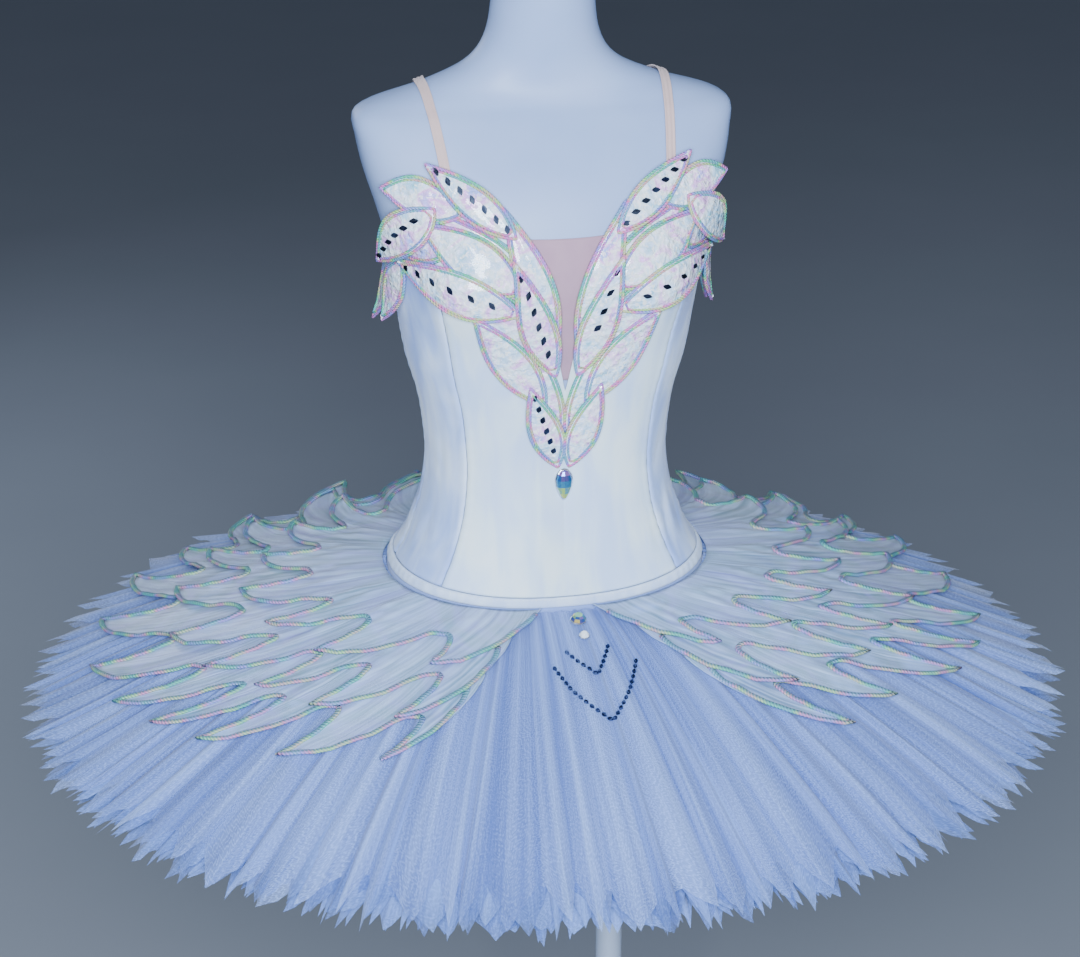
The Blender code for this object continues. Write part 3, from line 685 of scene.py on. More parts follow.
def paint_cord(name, groove, depth, muted, reach, channel):
    """Twisted pearl braid whose colour runs through green, straw, pink and lavender along its length, painted
    darker toward the groove colour in the twist's grooves and down the channel along its top, as painted
    shade.
    """
    paint = Paint(name, IOR=1.5, Coat_Roughness=0.15, Thin_Film_Thickness=460.0, Thin_Film_IOR=1.4)
    tones = [tuple(depth * np.array(tone) + muted * np.array(groove)) for tone in CORD_TONES]
    colour = paint.colours(paint.cloth_noise(0.0, reach), CORD_PLACES, tones)
    around, along = paint.waves(1.0, 0.0034)
    twist = (around * 2 + along).sine()
    top = around.sine().step(0.55, 0.95)
    # Painted shade: darker in the twist's grooves and down the top channel.
    shade = 0.45 + 0.55 * (0.5 + 0.5 * twist) ** 0.6 - channel * top
    normal = paint.bump(twist - channel * top, 0.0005, 0.7)
    colour = paint.mix(shade, groove, colour)
    return paint.drive(Base_Color=colour, Roughness=0.22 + 0.2 * shade, Normal=normal)


def paint_mesh_cloth(name, dark, light, pitch):
    """Fine knitted mesh or elastic: two rows of loops over a slightly uneven ground."""
    paint = Paint(name, IOR=1.45, Sheen_Weight=0.3, Sheen_Roughness=0.5, Specular_IOR_Level=0.3)
    across, along = paint.waves(pitch, pitch)
    loops = across.sine() * along.sine()
    ground = paint.noise(60, 3)
    tone = (0.45 + 0.35 * loops + 0.5 * (ground - 0.5)).within(0.0, 1.0)
    normal = paint.bump(loops, pitch * 0.12, 0.6)
    return paint.drive(Base_Color=paint.mix(tone, dark, light), Roughness=0.62 + 0.2 * ground, Normal=normal)


def paint_form():
    """The form's smooth shell: matt white lacquer with a faint orange-peel and rubbed spots."""
    paint = Paint("form_lacquer", IOR=1.45, Coat_Roughness=0.35, Specular_IOR_Level=0.35)
    cloud = paint.noise(7, 3)
    return paint.drive(
        Base_Color=paint.mix(cloud.step(0.3, 0.7), (0.29, 0.40, 0.69), (0.35, 0.46, 0.74)),
        Roughness=0.42 + 0.15 * cloud,
        Coat_Weight=0.1 + 0.1 * cloud,
        Normal=paint.bump(paint.noise(520), 0.0001, 0.4),
    )


def paint_stand():
    """Pale enamelled steel, a little worn at the foot."""
    paint = Paint("pale_enamel", IOR=1.5, Coat_Roughness=0.2)
    cloud = paint.noise(18, 4)
    scratch = paint.noise(12, stretch=(6, 6, 90))
    worn = (scratch * cloud).step(0.34, 0.46)
    return paint.drive(
        Base_Color=paint.mix(worn, (0.56, 0.66, 0.84), (0.44, 0.47, 0.52)),
        Metallic=0.35 + 0.5 * worn,
        Roughness=0.32 + 0.25 * cloud,
        Coat_Weight=0.4 * (1 - worn),
        Normal=paint.bump(scratch, 0.00015, 0.4),
    )


def paint_stone(name, rough, metallic, gloss, *tones):
    """Foiled glass: each small facet takes its own tone, the lighter tones painted glints and reflections."""
    paint = Paint(name, IOR=1.5, Metallic=metallic, Specular_IOR_Level=gloss)
    flaw = paint.noise(400, 1)
    glint = paint.attribute("facet") + 0.2 * (flaw - 0.5)
    colour = paint.colours(glint, np.linspace(0.08, 0.92, len(tones)), tones)
    return paint.drive(Base_Color=colour, Roughness=rough + 0.05 * flaw)


def paint_metal(name, dark, light, rough):
    """The stones' thin settings."""
    paint = Paint(name, Metallic=1.0)
    tarnish = paint.noise(260)
    return paint.drive(Base_Color=paint.mix(tarnish, dark, light), Roughness=rough + 0.2 * tarnish)


def paint_floor():
    paint = Paint("plain_floor", Specular_IOR_Level=0.2)
    grain = paint.noise(3, 3)
    colour = paint.mix(grain, (0.25, 0.27, 0.31), (0.27, 0.29, 0.33))
    return paint.drive(Base_Color=colour, Roughness=0.8 + 0.1 * grain)


# ================================================================ the dress form
FORM_COLUMNS = 160
FORM_LATITUDES = 150
FORM_BOWL_PART = 0.12
FORM_TOP_PART = 0.03
QUARTER = math.radians(90)


def finished(obj, finish, node=None):
    """Gives a rigid piece its finish and body, and hides the solid that it stands for."""
    obj.data.materials.append(FINISH[finish])
    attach(obj, ROOT)
    if node:
        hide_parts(node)


def make_form():
    """A ball with many latitudes, drawn out into the form: bowl below, loft above, a softly edged neck."""
    obj = primitive("uv_sphere", segments=FORM_COLUMNS, ring_count=FORM_LATITUDES, radius=1.0)
    obj.name = "form_shell"
    ball = np.array([vert.co for vert in obj.data.vertices])
    angle = np.arctan2(ball[:, 1], ball[:, 0])
    height = 1 - np.arccos(np.clip(ball[:, 2], -1, 1)) / math.pi
    rows = np.array(SECTIONS)
    along = lengths_along(rows[:, :2])
    body = np.clip((height - FORM_BOWL_PART) / (1 - FORM_BOWL_PART - FORM_TOP_PART), 0, 1)
    points = on_section(angle, np.interp(body, along / along[-1], rows[:, 0]), FORM_CUP)
    tilt = QUARTER * np.clip(1 - height / FORM_BOWL_PART, 0, 1)
    points[:, :2] *= np.cos(tilt)[:, None]
    points[:, 2] -= BOWL_DEPTH * np.sin(tilt)
    top = QUARTER * np.clip((height - 1) / FORM_TOP_PART + 1, 0, 1)
    points[:, :2] *= np.cos(top)[:, None] ** 0.5
    points[:, 2] += NECK_DOME * np.sin(top)
    obj.data.vertices.foreach_set("co", points.astype(np.float32).ravel())
    obj.data.update()
    bpy.ops.object.shade_smooth()
    finished(obj, "form", "dress_form")


# ================================================================ the stand
POLE_X = 0.066
POLE_Y = -0.012
BASE_STEP = 0.012
COLLAR_NECK = 0.0182
COLLAR_BORE = 0.0142
SMOOTH_BELOW = math.radians(35)


def raised(profile, sides):
    """A closed solid pulled up from a disc, ring by ring, to each radius and height of its profile."""
    (radius, low), *rest = profile
    obj = primitive("circle", vertices=sides, radius=radius, fill_type="NGON", location=(0, 0, low))
    with editing():
        for new_radius, height in rest:
            bpy.ops.mesh.extrude_region_move(TRANSFORM_OT_translate={"value": (0, 0, height - low)})
            grow = new_radius / radius
            bpy.ops.transform.resize(value=(grow, grow, 1), center_override=(0, 0, height))
            radius, low = new_radius, height
        bpy.ops.mesh.select_all(action="SELECT")
        bpy.ops.mesh.normals_make_consistent(inside=False)
    return obj


def turned(name, node, profile, sides, x=0, y=0):
    """A turned metal piece at its place on the floor."""
    obj = raised(profile, sides)
    obj.name = name
    obj.location += Vector((x, y, 0))
    bpy.ops.object.transform_apply(location=True, rotation=True, scale=True)
    bpy.ops.object.shade_smooth_by_angle(angle=SMOOTH_BELOW)
    finished(obj, "stand", node)


def make_stand():
    """Base plate, collar and pole, each with the softened edges that its solid leaves out."""
    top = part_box("stand_base")[1]
    r, t = top.x, top.z
    plate = [
        (r - 0.0012, 0.0),
        (r, 0.0012),
        (r, t - 0.003),
        (r - 0.0009, t - 0.0009),
        (r - 0.003, t),
        (r - BASE_STEP, t),
        (r - BASE_STEP - 0.0008, t - 0.0005),
        (r - BASE_STEP - 0.0024, t - 0.0005),
        (r - BASE_STEP - 0.0032, t),
        (r * 0.4, t),
    ]
    turned("base_plate", "stand_base", plate, 128)
    low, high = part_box("stand_collar")
    foot = (high.x - low.x) / 2
    collar = [
        (foot - 0.001, low.z),
        (foot, low.z + 0.001),
        (foot, low.z + 0.005),
        (foot - 0.0012, low.z + 0.0066),
        (COLLAR_NECK + 0.002, high.z - 0.004),
        (COLLAR_NECK, high.z - 0.0015),
        (COLLAR_NECK - 0.0012, high.z),
        (COLLAR_BORE, high.z),
    ]
    turned("foot_collar", "stand_collar", collar, 72, POLE_X, POLE_Y)
    low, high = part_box("stand_pole")
    radius = (high.x - low.x) / 2
    turned("pole_tube", "stand_pole", [(radius, low.z), (radius, high.z)], 64, POLE_X, POLE_Y)


# ================================================================ the bodice
# Soft folds of the bodice. Angles run from the centre front, minus on the wearer's right. A negative depth is
# a trough. The lean is from upright, towards the wearer's left at the top.
CREASES = table(
    "angle_deg z length width depth lean_deg",
    (-70, 0.992, 0.060, 0.0045, -0.0012, 6),
    (-62, 0.984, 0.048, 0.0040, 0.0009, -4),
    (-78, 0.978, 0.040, 0.0050, 0.0010, 10),
    (-55, 0.972, 0.030, 0.0035, -0.0007, 2),
    (-66, 1.062, 0.085, 0.0060, -0.0011, 3),
    (-58, 1.120, 0.070, 0.0050, 0.0007, -8),
    (-74, 1.052, 0.026, 0.0050, -0.0009, 78),
    (-84, 1.036, 0.030, 0.0055, -0.0010, 66),
    (-40, 1.050, 0.040, 0.0060, 0.0005, 60),
    (-30, 0.965, 0.036, 0.0060, 0.0006, -6),
    (-16, 0.958, 0.030, 0.0080, -0.0004, 8),
    (-8, 1.000, 0.070, 0.0110, 0.0004, -3),
    (6, 0.952, 0.026, 0.0070, -0.0004, 5),
    (14, 0.990, 0.060, 0.0100, 0.0005, 4),
    (28, 0.962, 0.034, 0.0060, -0.0005, 12),
    (38, 0.975, 0.044, 0.0050, 0.0006, 18),
    (54, 0.986, 0.070, 0.0040, -0.0013, 16),
    (61, 0.996, 0.080, 0.0042, 0.0012, 10),
    (68, 0.982, 0.056, 0.0040, -0.0012, 20),
    (77, 0.990, 0.060, 0.0050, 0.0010, 4),
    (58, 1.060, 0.050, 0.0055, -0.0009, 30),
    (70, 1.046, 0.026, 0.0050, -0.0009, -74),
    (82, 1.064, 0.030, 0.0055, 0.0008, -66),
    (64, 1.150, 0.080, 0.0070, -0.0006, -6),
    (-64, 1.170, 0.060, 0.0070, 0.0006, 8),
    (96, 1.012, 0.060, 0.0060, -0.0010, 6),
    (104, 0.976, 0.044, 0.0045, 0.0009, -8),
    (118, 1.040, 0.036, 0.0060, -0.0009, 70),
    (128, 0.985, 0.050, 0.0050, -0.0008, 10),
    (146, 1.052, 0.030, 0.0055, 0.0007, 64),
    (158, 0.968, 0.036, 0.0060, 0.0006, -5),
    (168, 1.080, 0.060, 0.0070, -0.0005, 8),
    (-96, 0.985, 0.050, 0.0050, 0.0010, -6),
    (-108, 1.028, 0.062, 0.0060, -0.0010, 12),
    (-120, 1.050, 0.034, 0.0055, -0.0009, -68),
    (-132, 0.980, 0.042, 0.0045, -0.0008, 7),
    (-150, 1.046, 0.030, 0.0060, 0.0007, -62),
    (-160, 0.966, 0.034, 0.0055, -0.0006, -9),
    (-172, 1.090, 0.050, 0.0080, 0.0005, 5),
)
SEAM_ROLL = 0.0012
SEAM_ROLL_WIDTH = 0.0013
SEAM_PUCKER = 0.00028
SEAM_PUCKER_REACH = 0.008
SEAM_PUCKER_PITCH = 0.0125
BONE_FROM_SEAM = 0.0062
BONE_HALF_WIDTH = 0.0026
BONE_RISE = 0.00030
PANEL_GAP = 0.0007
PANEL_ROWS = 120
TOP_ROLL = 0.0006
TOP_ROLL_WIDTH = 0.0012


def crease_relief(angle, z):
    """The height of all the soft folds at these points of the bodice."""
    total = np.zeros(np.broadcast(angle, z).shape)
    for crease in CREASES:
        across = wrapped(angle - FRONT - math.radians(crease.angle_deg)) * TRUNK_RADIUS
        up = z - crease.z
        lean = math.radians(crease.lean_deg)
        off = across * math.cos(lean) - up * math.sin(lean)
        along = across * math.sin(lean) + up * math.cos(lean)
        bend = off + 0.12 * along**2 / crease.length
        fade = np.clip(1 - (2 * along / crease.length) ** 2, 0, 1) ** 2
        total += crease.depth * bell(bend, crease.width) * fade
    return total


def panel_relief(angle, z, start, end):
    """Folds, rolled and puckered seams, and the stitched-in bones beside them."""
    seam = np.minimum(angle - start, end - angle) * TRUNK_RADIUS
    roll = -SEAM_ROLL * bell(seam, SEAM_ROLL_WIDTH)
    wander = np.sin(z * 61 + start * 7) + 0.6 * np.sin(z * 143 + start * 3)
    pucker = SEAM_PUCKER * np.sin(z * math.tau / SEAM_PUCKER_PITCH + 1.4 * wander)
    pucker *= bell(seam - 0.003, SEAM_PUCKER_REACH)
    bone = BONE_RISE * np.clip(1.5 - ((seam - BONE_FROM_SEAM) / BONE_HALF_WIDTH) ** 2, 0, 1) ** 0.5
    return crease_relief(angle, z) + roll + pucker + bone


def make_panel(name, start, end, turns):
    """A panel between two seams; turns are the steps from 0 to 1 across it."""
    gap = PANEL_GAP / 2 / TRUNK_RADIUS
    angle = (start + gap + (end - start - 2 * gap) * turns)[None, :]
    low = hem_z(angle) + BINDING_HEIGHT + SEAM_GAP
    v = crowded(PANEL_ROWS, 0.35)[:, None]
    z = between(low, top_edge_z(angle), v)
    angle = np.broadcast_to(angle, z.shape)
    edge = -TOP_ROLL * bell(top_edge_z(angle) - z, TOP_ROLL_WIDTH)
    out = BODICE_CLEAR + BODICE_WALL + panel_relief(angle, z, start, end) + edge
    points = on_form(angle, z, out)
    # The side panels take a darker, bluer copy of the satin: painted shade where the sides turn from the
    # light.
    obj = cloth(name + "_satin", points, "side_satin" if "side" in name else "satin", wall=SATIN_WALL)
    sheet(name)


def make_bodice():
    """Seven boned panels. The front one has more steps at the point of the neckline."""
    half = crowded(61)[:30] * 0.86
    across = np.concatenate([half, np.linspace(0.43, 0.57, 43), 1 - half[::-1]])
    make_panel("bodice_centre_front", FRONT - PRINCESS_FRONT, FRONT + PRINCESS_FRONT, across)
    seams = [PRINCESS_FRONT, math.radians(90), math.pi - PRINCESS_BACK, math.pi]
    names = ["bodice_side_front", "bodice_side_back", "bodice_centre_back"]
    for side in (1, -1):
        for name, first, second in zip(names, seams, seams[1:]):
            start, end = sorted((FRONT + side * first, FRONT + side * second))
            make_panel(side_name(name, side), start, end, crowded(34))


def make_insert():
    """Flesh-coloured mesh behind the deep neckline."""
    v = np.linspace(0, 1, 60)[:, None]
    across = np.linspace(-1, 1, 33)[None, :]
    z = between(INSERT_BOTTOM_Z, INSERT_TOP_Z, v)
    table = np.array(TOP_EDGE)
    half = np.radians(np.interp(z, table[:7, 1], table[:7, 0])) + INSERT_TUCK
    z = z - INSERT_TOP_SAG * v * (1 - across**2)
    ripple = 0.0003 * np.sin(across * 6 + z * 50) * v
    points = on_form(FRONT + across * half, z, INSERT_CLEAR + 0.0010 + ripple, INSERT_CUP)
    obj = cloth("neck_mesh", points, "flesh_mesh", wall=KNIT_WALL)
    sheet("neck_insert")


Stitch = namedtuple("Stitch", "pitch length radius")
STRAP_STITCH = Stitch(0.0034, 0.0024, 0.00026)
HEM_STITCH = Stitch(0.0042, 0.0029, 0.00024)
STITCH_BOW = np.array([[-0.3], [0.6], [-0.3]])
STRAP_RIB = 0.00030
SEAM_RIB = 0.00012
SEAM_PLACES = (0.27, 0.73)
ELASTIC_WALL = 0.0009


def stitches_part(path, up, stitch):
    """Small raised stitches along a path, each a short closed tube bowed off the cloth."""
    steps = lengths_along(path)
    parts = []
    for middle in np.arange(stitch.pitch / 2, steps[-1], stitch.pitch):
        at = np.clip(middle + np.array([-0.5, 0.0, 0.5]) * stitch.length, 0, steps[-1])
        normal = points_at(at, up, steps)
        spots = points_at(at, path, steps) + normal * STITCH_BOW * stitch.radius
        parts.append(tube_part(spots, stitch.radius, normal, sides=4, taper=0.3))
    return parts


def make_straps():
    """Flesh elastic straps, ribbed along their edges and stitched twice along their length."""
    for side in (1, -1):
        name = side_name("strap", side)
        u = crowded(15, 0.6)[None, :]
        v = np.linspace(0, 1, 120)[:, None]
        points = strap_points(u, v, side, STRAP_RIB)[0]
        obj = cloth(name + "_elastic", points, "elastic", wall=ELASTIC_WALL, flip=side > 0)
        seams = []
        for place in SEAM_PLACES:
            path, lift = strap_points(np.array([[place]]), v, side, SEAM_RIB)
            seams += stitches_part(path[:, 0], lift[:, 0], STRAP_STITCH)
        thread = joined(name + "_stitches", seams, "flesh_thread")
        sheet(name)


def strap_points(u, v, side, rib):
    """Points of a strap's outer face, and the way off it there."""
    turn = between(STRAP_FRONT_TURN, STRAP_BACK_TURN, v)
    up = np.clip(v / STRAP_TOP, 0, 1)
    down = np.clip((v - STRAP_TOP) / (1 - STRAP_TOP), 0, 1)
    x = between(STRAP_X_FRONT, STRAP_X_SHOULDER, up)
    x = x + (STRAP_X_BACK - STRAP_X_SHOULDER) * down**STRAP_BACK_CURVE
    x = side * (x + STRAP_WIDTH * (u - 0.5))
    groove = rib * (np.cos((u - 0.5) * 2 * math.tau * 1.09) - 0.4)
    points = over_shoulder(x, turn + 0 * u, STRAP_CLEAR + 0.0011 + groove)
    rays = points - shoulder_centre()
    rays[..., 0] = 0
    return points, unit(rays)


def make_binding():
    """The rounded satin band round the lower edge, with a line of stitches along its top."""
    angle = np.linspace(0, math.tau, 420, endpoint=False)[None, :]
    turn = np.radians(np.linspace(-155, 155, 17))[:, None]
    ripple = 0.00025 * np.sin(angle * 67 + 2 * np.sin(angle * 9)) * (np.cos(turn) > -0.2)
    half_height = (BINDING_HEIGHT - SEAM_GAP) / 2
    z = hem_z(angle) + half_height * (1 + power(np.sin(turn), 0.8))
    out = BODICE_CLEAR + BINDING_WALL / 2 + (BINDING_WALL / 2 + ripple) * power(np.cos(turn), 0.8)
    points = on_form(angle, z, out)
    obj = cloth("hem_band", points, "binding", ring=True)
    round_once = np.linspace(0, math.tau, 700)
    height = hem_z(round_once) + BINDING_HEIGHT * 0.80
    path = on_form(round_once, height, BODICE_CLEAR + BINDING_WALL * 0.93)
    seams = stitches_part(path, normal_of(round_once, height), HEM_STITCH)
    thread = joined("hem_stitches", seams, "white_thread")
    sheet("hem_binding")


# ================================================================ yoke and brief
BRIEF_OUT = 0.0016


def make_yoke():
    """The basque that the net is sewn to, puckered a little towards its top."""
    angle = np.linspace(0, math.tau, 240, endpoint=False)[None, :]
    v = np.linspace(0, 1, 22)[:, None]
    high = hem_z(angle) - 0.0006
    z = between(YOKE_BOTTOM_Z, high, v)
    pucker = 0.0002 * np.sin(angle * 90 + 3 * np.sin(angle * 7)) * bell(v - 0.75, 0.25)
    points = on_form(angle, z, BODICE_CLEAR + 0.0010 + pucker)
    obj = cloth("basque_yoke", points, "basque", ring=True, wall=KNIT_WALL)
    sheet("hip_yoke")


def make_brief():
    """Front and back of the brief, each narrowing to the gusset, with small drag lines toward it."""
    out = BODICE_CLEAR + BRIEF_OUT
    rim_z = YOKE_BOTTOM_Z - SEAM_GAP
    base = SECTIONS[0]
    hang = BOWL_DEPTH + out + rim_z - base.z
    half_width = base.half_width + out
    narrow = math.asin((GUSSET_HALF_WIDTH / half_width) ** (base.squareness / 2)) * 2 / math.pi
    u = np.linspace(-1, 1, 61)[None, :]
    v = np.linspace(0, 1, 40)[:, None]
    for toward, depth, name in ((-1, base.front + out, "brief_front"), (1, base.back + out, "brief_back")):
        tilt = QUARTER * v
        turn = QUARTER * 0.995 * (narrow + (1 - narrow) * (1 - v) ** 2) * u
        reach = np.cos(turn) ** (2 / base.squareness)
        drag = 0.0006 * np.sin(u * 14 + v * 9) * np.sin(math.pi * v) * np.abs(u)
        x = half_width * power(np.sin(turn), 2 / base.squareness)
        y = toward * ((depth + drag) * reach * np.cos(tilt) + SEAM_GAP / 2)
        z = rim_z - (hang + drag) * reach * np.sin(tilt)
        points = np.stack(np.broadcast_arrays(x, y, z), -1)
        obj = cloth(name + "_knit", points, "basque", wall=KNIT_WALL, flip=toward < 0)
        sheet(name)


# ================================================================ the net skirts
# Each layer of net: how many points its edge is cut into, how far it reaches, where it is sewn below the
# hem, how much lower its edge hangs, and the layer of the part that it stands for.
NET_LAYERS = table(
    "name stands_for points reach seat sink finish seed",
    ("net_first", "net_skirt_top", 98, 1.000, 0.0042, 0.000, "net_top", 3),
    ("net_second", None, 92, 0.992, 0.0080, 0.002, "net_under", 17),
    ("net_third", "net_skirt_second", 88, 0.982, 0.0120, 0.004, "net_under", 5),
    ("net_fourth", None, 94, 0.968, 0.0160, 0.006, "net_under", 29),
    ("net_fifth", "net_skirt_third", 86, 0.952, 0.0200, 0.008, "net_under", 8),
    ("net_sixth", None, 90, 0.934, 0.0245, 0.010, "net_under", 41),
    ("net_lowest", "net_skirt_lowest", 84, 0.915, 0.0290, 0.013, "net_under", 13),
)
COLUMNS_PER_POINT = 8
NET_ROWS = 30
POINT_DEPTH = 0.130
POINT_SPREAD = 0.62
WAVE_AT_YOKE = 0.0010
WAVE_AT_RIM = 0.0036
RIM_WAVE = 0.0034
RIM_WAVE_FROM = 0.78
NET_CLOTH_SPAN = 2.2, 0.39
# What chance gives each point of the net: how deep it is cut, how much longer and higher it is than the
# others, how bright the painted highlight on its crest is, and how far it leans.
DEPTH_RANGE = 0.55, 1.25
LENGTH_RANGE = -1, 0.6
LENGTH_SPREAD = 0.022
HEIGHT_RANGE = 0.45, 1.35
BRIGHT_RANGE = 0.25, 1.0
LEAN_RANGE = -0.35, 0.35


def make_net(row):
    """One layer of net. Pleats fan from the yoke, each to a long cut point folded along its middle."""
    chance = np.random.default_rng(row.seed)
    widths = 1 + POINT_SPREAD * chance.uniform(-1, 1, row.points)
    starts = running(widths) / widths.sum()
    depth = POINT_DEPTH * chance.uniform(*DEPTH_RANGE, row.points)
    length = 1 + LENGTH_SPREAD * chance.uniform(*LENGTH_RANGE, row.points)
    height = chance.uniform(*HEIGHT_RANGE, row.points)
    bright = chance.uniform(*BRIGHT_RANGE, row.points)
    lean = chance.uniform(*LEAN_RANGE, row.points)
    part = np.arange(COLUMNS_PER_POINT) / COLUMNS_PER_POINT
    point = np.repeat(np.arange(row.points), COLUMNS_PER_POINT)
    part = np.tile(part, row.points)
    fold = 1 - np.abs(2 * part - 1)
    angle = math.tau * between(starts[point], starts[point + 1], part) + row.seed
    end = row.reach * length[point] - depth[point] * (1 - fold**1.15)
    low_notch = row.reach - depth[point]
    end = np.where(part == 0, (low_notch + np.roll(low_notch, COLUMNS_PER_POINT)) / 2, end)
    v = (np.linspace(0, 1, NET_ROWS) ** 0.9)[:, None]
    share = end[None, :] * v
    step = (starts[point + 1] - starts[point]) * math.tau
    angle = angle[None, :] + (lean[point] * step * fold)[None, :] * v**2
    wave = between(WAVE_AT_YOKE, WAVE_AT_RIM, share)
    free = np.clip((share - RIM_WAVE_FROM) / (1 - RIM_WAVE_FROM), 0, 1)
    wave = wave + RIM_WAVE * free**2
    ridge = height[point] * (2 * fold**0.8 - 1)
    small = 0.30 * np.sin(part * math.tau * 3 + point * 1.7)
    roll = 0.0035 * np.sin(5 * angle + row.seed) * free + 0.0025 * np.sin(11 * angle - row.seed) * free
    points = skirt_point(angle, share, row.seat, row.sink)
    points[..., 2] += wave * (ridge + small * (0.3 + 0.7 * share)) + roll
    uv = np.linspace(0, NET_CLOTH_SPAN[0], len(part) + 1), np.linspace(0, NET_CLOTH_SPAN[1], NET_ROWS)
    obj = cloth(row.name, points, row.finish, ring=True, flip=True, uv=uv)
    # The pleat number: each crest painted lighter and each valley darker, as painted highlight and shade.
    crest = 0.30 + 0.45 * bright[point] + 0.45 * bright[point] * fold**5 - 0.30 * (1 - fold) ** 4
    set_attribute(obj, "pleat", np.broadcast_to(crest, share.shape))
    set_attribute(obj, "rim", free)
    if row.finish == "net_under":
        close_inner_part(obj, free)
    sheet(row.stands_for)


def close_inner_part(obj, free):
    """Gives the faces inside the free rim the close net's finish."""
    obj.data.materials.append(FINISH["net_close"])
    free = free.ravel()
    inner = [int(free[list(polygon.vertices)].max() == 0) for polygon in obj.data.polygons]
    obj.data.polygons.foreach_set("material_index", inner)


def set_attribute(obj, name, values):
    """A number for each point, which the piece's finish reads."""
    layer = obj.data.attributes.new(name, "FLOAT", "POINT")
    layer.data.foreach_set("value", np.ascontiguousarray(values, np.float32).ravel())


# ================================================================ the feathered satin
# Three tiers a side. The feathers' tips sweep away from the centre front, and each tier lies on the one
# outside it.
TIERS = table(
    "name start reach notch feathers sweep_deg rise from_deg to_deg tuck_deg seed",
    ("feather_tier_outer", 0.360, 0.825, 0.245, 12, 13.0, 0.0000, 15, 167, 9.0, 2),
    ("feather_tier_middle", 0.160, 0.620, 0.225, 10, 15.0, 0.0022, 10, 165, 9.0, 4),
    ("feather_tier_inner", 0.010, 0.400, 0.195, 8, 15.0, 0.0034, 7, 165, 0.0, 6),
)
# One feather's edge: how far across it and how far out, from a rounded notch up to the tip, and down again.
FEATHER_UP = [
    (0.00, 0.00),
    (0.09, 0.05),
    (0.15, 0.22),
    (0.19, 0.46),
    (0.26, 0.72),
    (0.40, 0.92),
    (0.56, 1.00),
]
FEATHER_DOWN = [
    (0.56, 1.00),
    (0.60, 0.80),
    (0.66, 0.55),
    (0.74, 0.30),
    (0.83, 0.10),
    (0.92, 0.01),
    (1.00, 0.00),
]
STEPS_PER_CURVE = 13
TIER_ROWS = 16
FEATHER_SEAT = 0.0034
FEATHER_DOME = 0.0016
FEATHER_CURL = 0.0022
BACK_CURL = 0.0170
FRONT_TAPER = 0.045
CORD_RADIUS = 0.0019
BRAID_WIDE = 1.45
FEATHER_WIDTHS = 0.68, 1.32
FEATHER_SIZES = 0.80, 1.05
CURL_FROM_DEG = 105
CURL_OVER_DEG = 60
BRAID_LIFT = 0.0010
FILM_WALL = 0.0008


def smooth_curve(points, steps):
    """A curve through the points, the first of them left out so that curves join."""
    rows = np.array(points, float)
    rows = np.concatenate([2 * rows[:1] - rows[1:2], rows, 2 * rows[-1:] - rows[-2:-1]])
    at = np.linspace(0, len(points) - 1, steps + 1)[1:]
    i = np.minimum(at.astype(int), len(points) - 2)
    t = (at - i)[:, None]
    p0, p1, p2, p3 = rows[i], rows[i + 1], rows[i + 2], rows[i + 3]
    return p1 + 0.5 * t * (p2 - p0 + t * (2 * p0 - 5 * p1 + 4 * p2 - p3 + t * (3 * (p1 - p2) + p3 - p0)))


def tier_edge(row, chance):
    """The edge of a whole tier: each point's place along the tier, how far out, and place in its feather."""
    up, down = smooth_curve(FEATHER_UP, STEPS_PER_CURVE), smooth_curve(FEATHER_DOWN, STEPS_PER_CURVE)
    widths = chance.uniform(*FEATHER_WIDTHS, row.feathers)
    starts = running(widths) / widths.sum()
    place, out, inside = [0.0], [0.0], [0.0]
    for feather in range(row.feathers):
        size = chance.uniform(*FEATHER_SIZES)
        curve = np.concatenate([up, down])
        place += list(between(starts[feather], starts[feather + 1], curve[:, 0]))
        out += list(curve[:, 1] * size)
        inside += list(curve[:, 0])
    return np.array(place), np.array(out), np.array(inside)


def tier_points(row, side, place, out, inside, v, lift=0.0):
    """Points of a tier from its inner edge, v 0, to its feathered edge, v 1."""
    edge = row.reach - row.notch * (1 - out)
    ends = np.clip(np.minimum(place, 1 - place) / FRONT_TAPER, 0.02, 1) ** 0.6
    share = row.start + (edge - row.start) * ends * v
    along = np.clip((share - row.start) / (row.reach - row.start), 0, 1.2)
    turn = between(row.from_deg, row.to_deg, place) + row.sweep_deg * along**1.5
    at_end = np.clip(1 - np.minimum(place, 1 - place) / FRONT_TAPER, 0, 1)
    turn = turn + row.tuck_deg * at_end**2 * np.where(place < 0.5, 1, -1)
    forward = np.clip(1 - turn / FRONT_SPAN_DEG, 0, 1)
    share = share * (1 - (1 - FRONT_SHARE) * forward * (2 - forward))
    point = skirt_point(FRONT + side * np.radians(turn), share, NET_LAYERS[0].seat)
    backward = np.clip((turn - CURL_FROM_DEG) / CURL_OVER_DEG, 0, 1)
    dome = FEATHER_DOME * np.sin(math.pi * np.clip(inside, 0, 1)) ** 1.5 * v**2
    curl = (FEATHER_CURL * (0.4 + along) + BACK_CURL * backward) * out**1.5 * v**3
    crinkle = 0.0007 * np.sin(place * 173 + share * 40) + 0.0005 * np.sin(place * 71 - share * 90)
    seat = between(WAVE_AT_YOKE, WAVE_AT_RIM, share) + FEATHER_SEAT
    point[..., 2] += seat + row.rise * np.clip(2 * v, 0, 1) + dome + curl + crinkle * v + lift
    return point


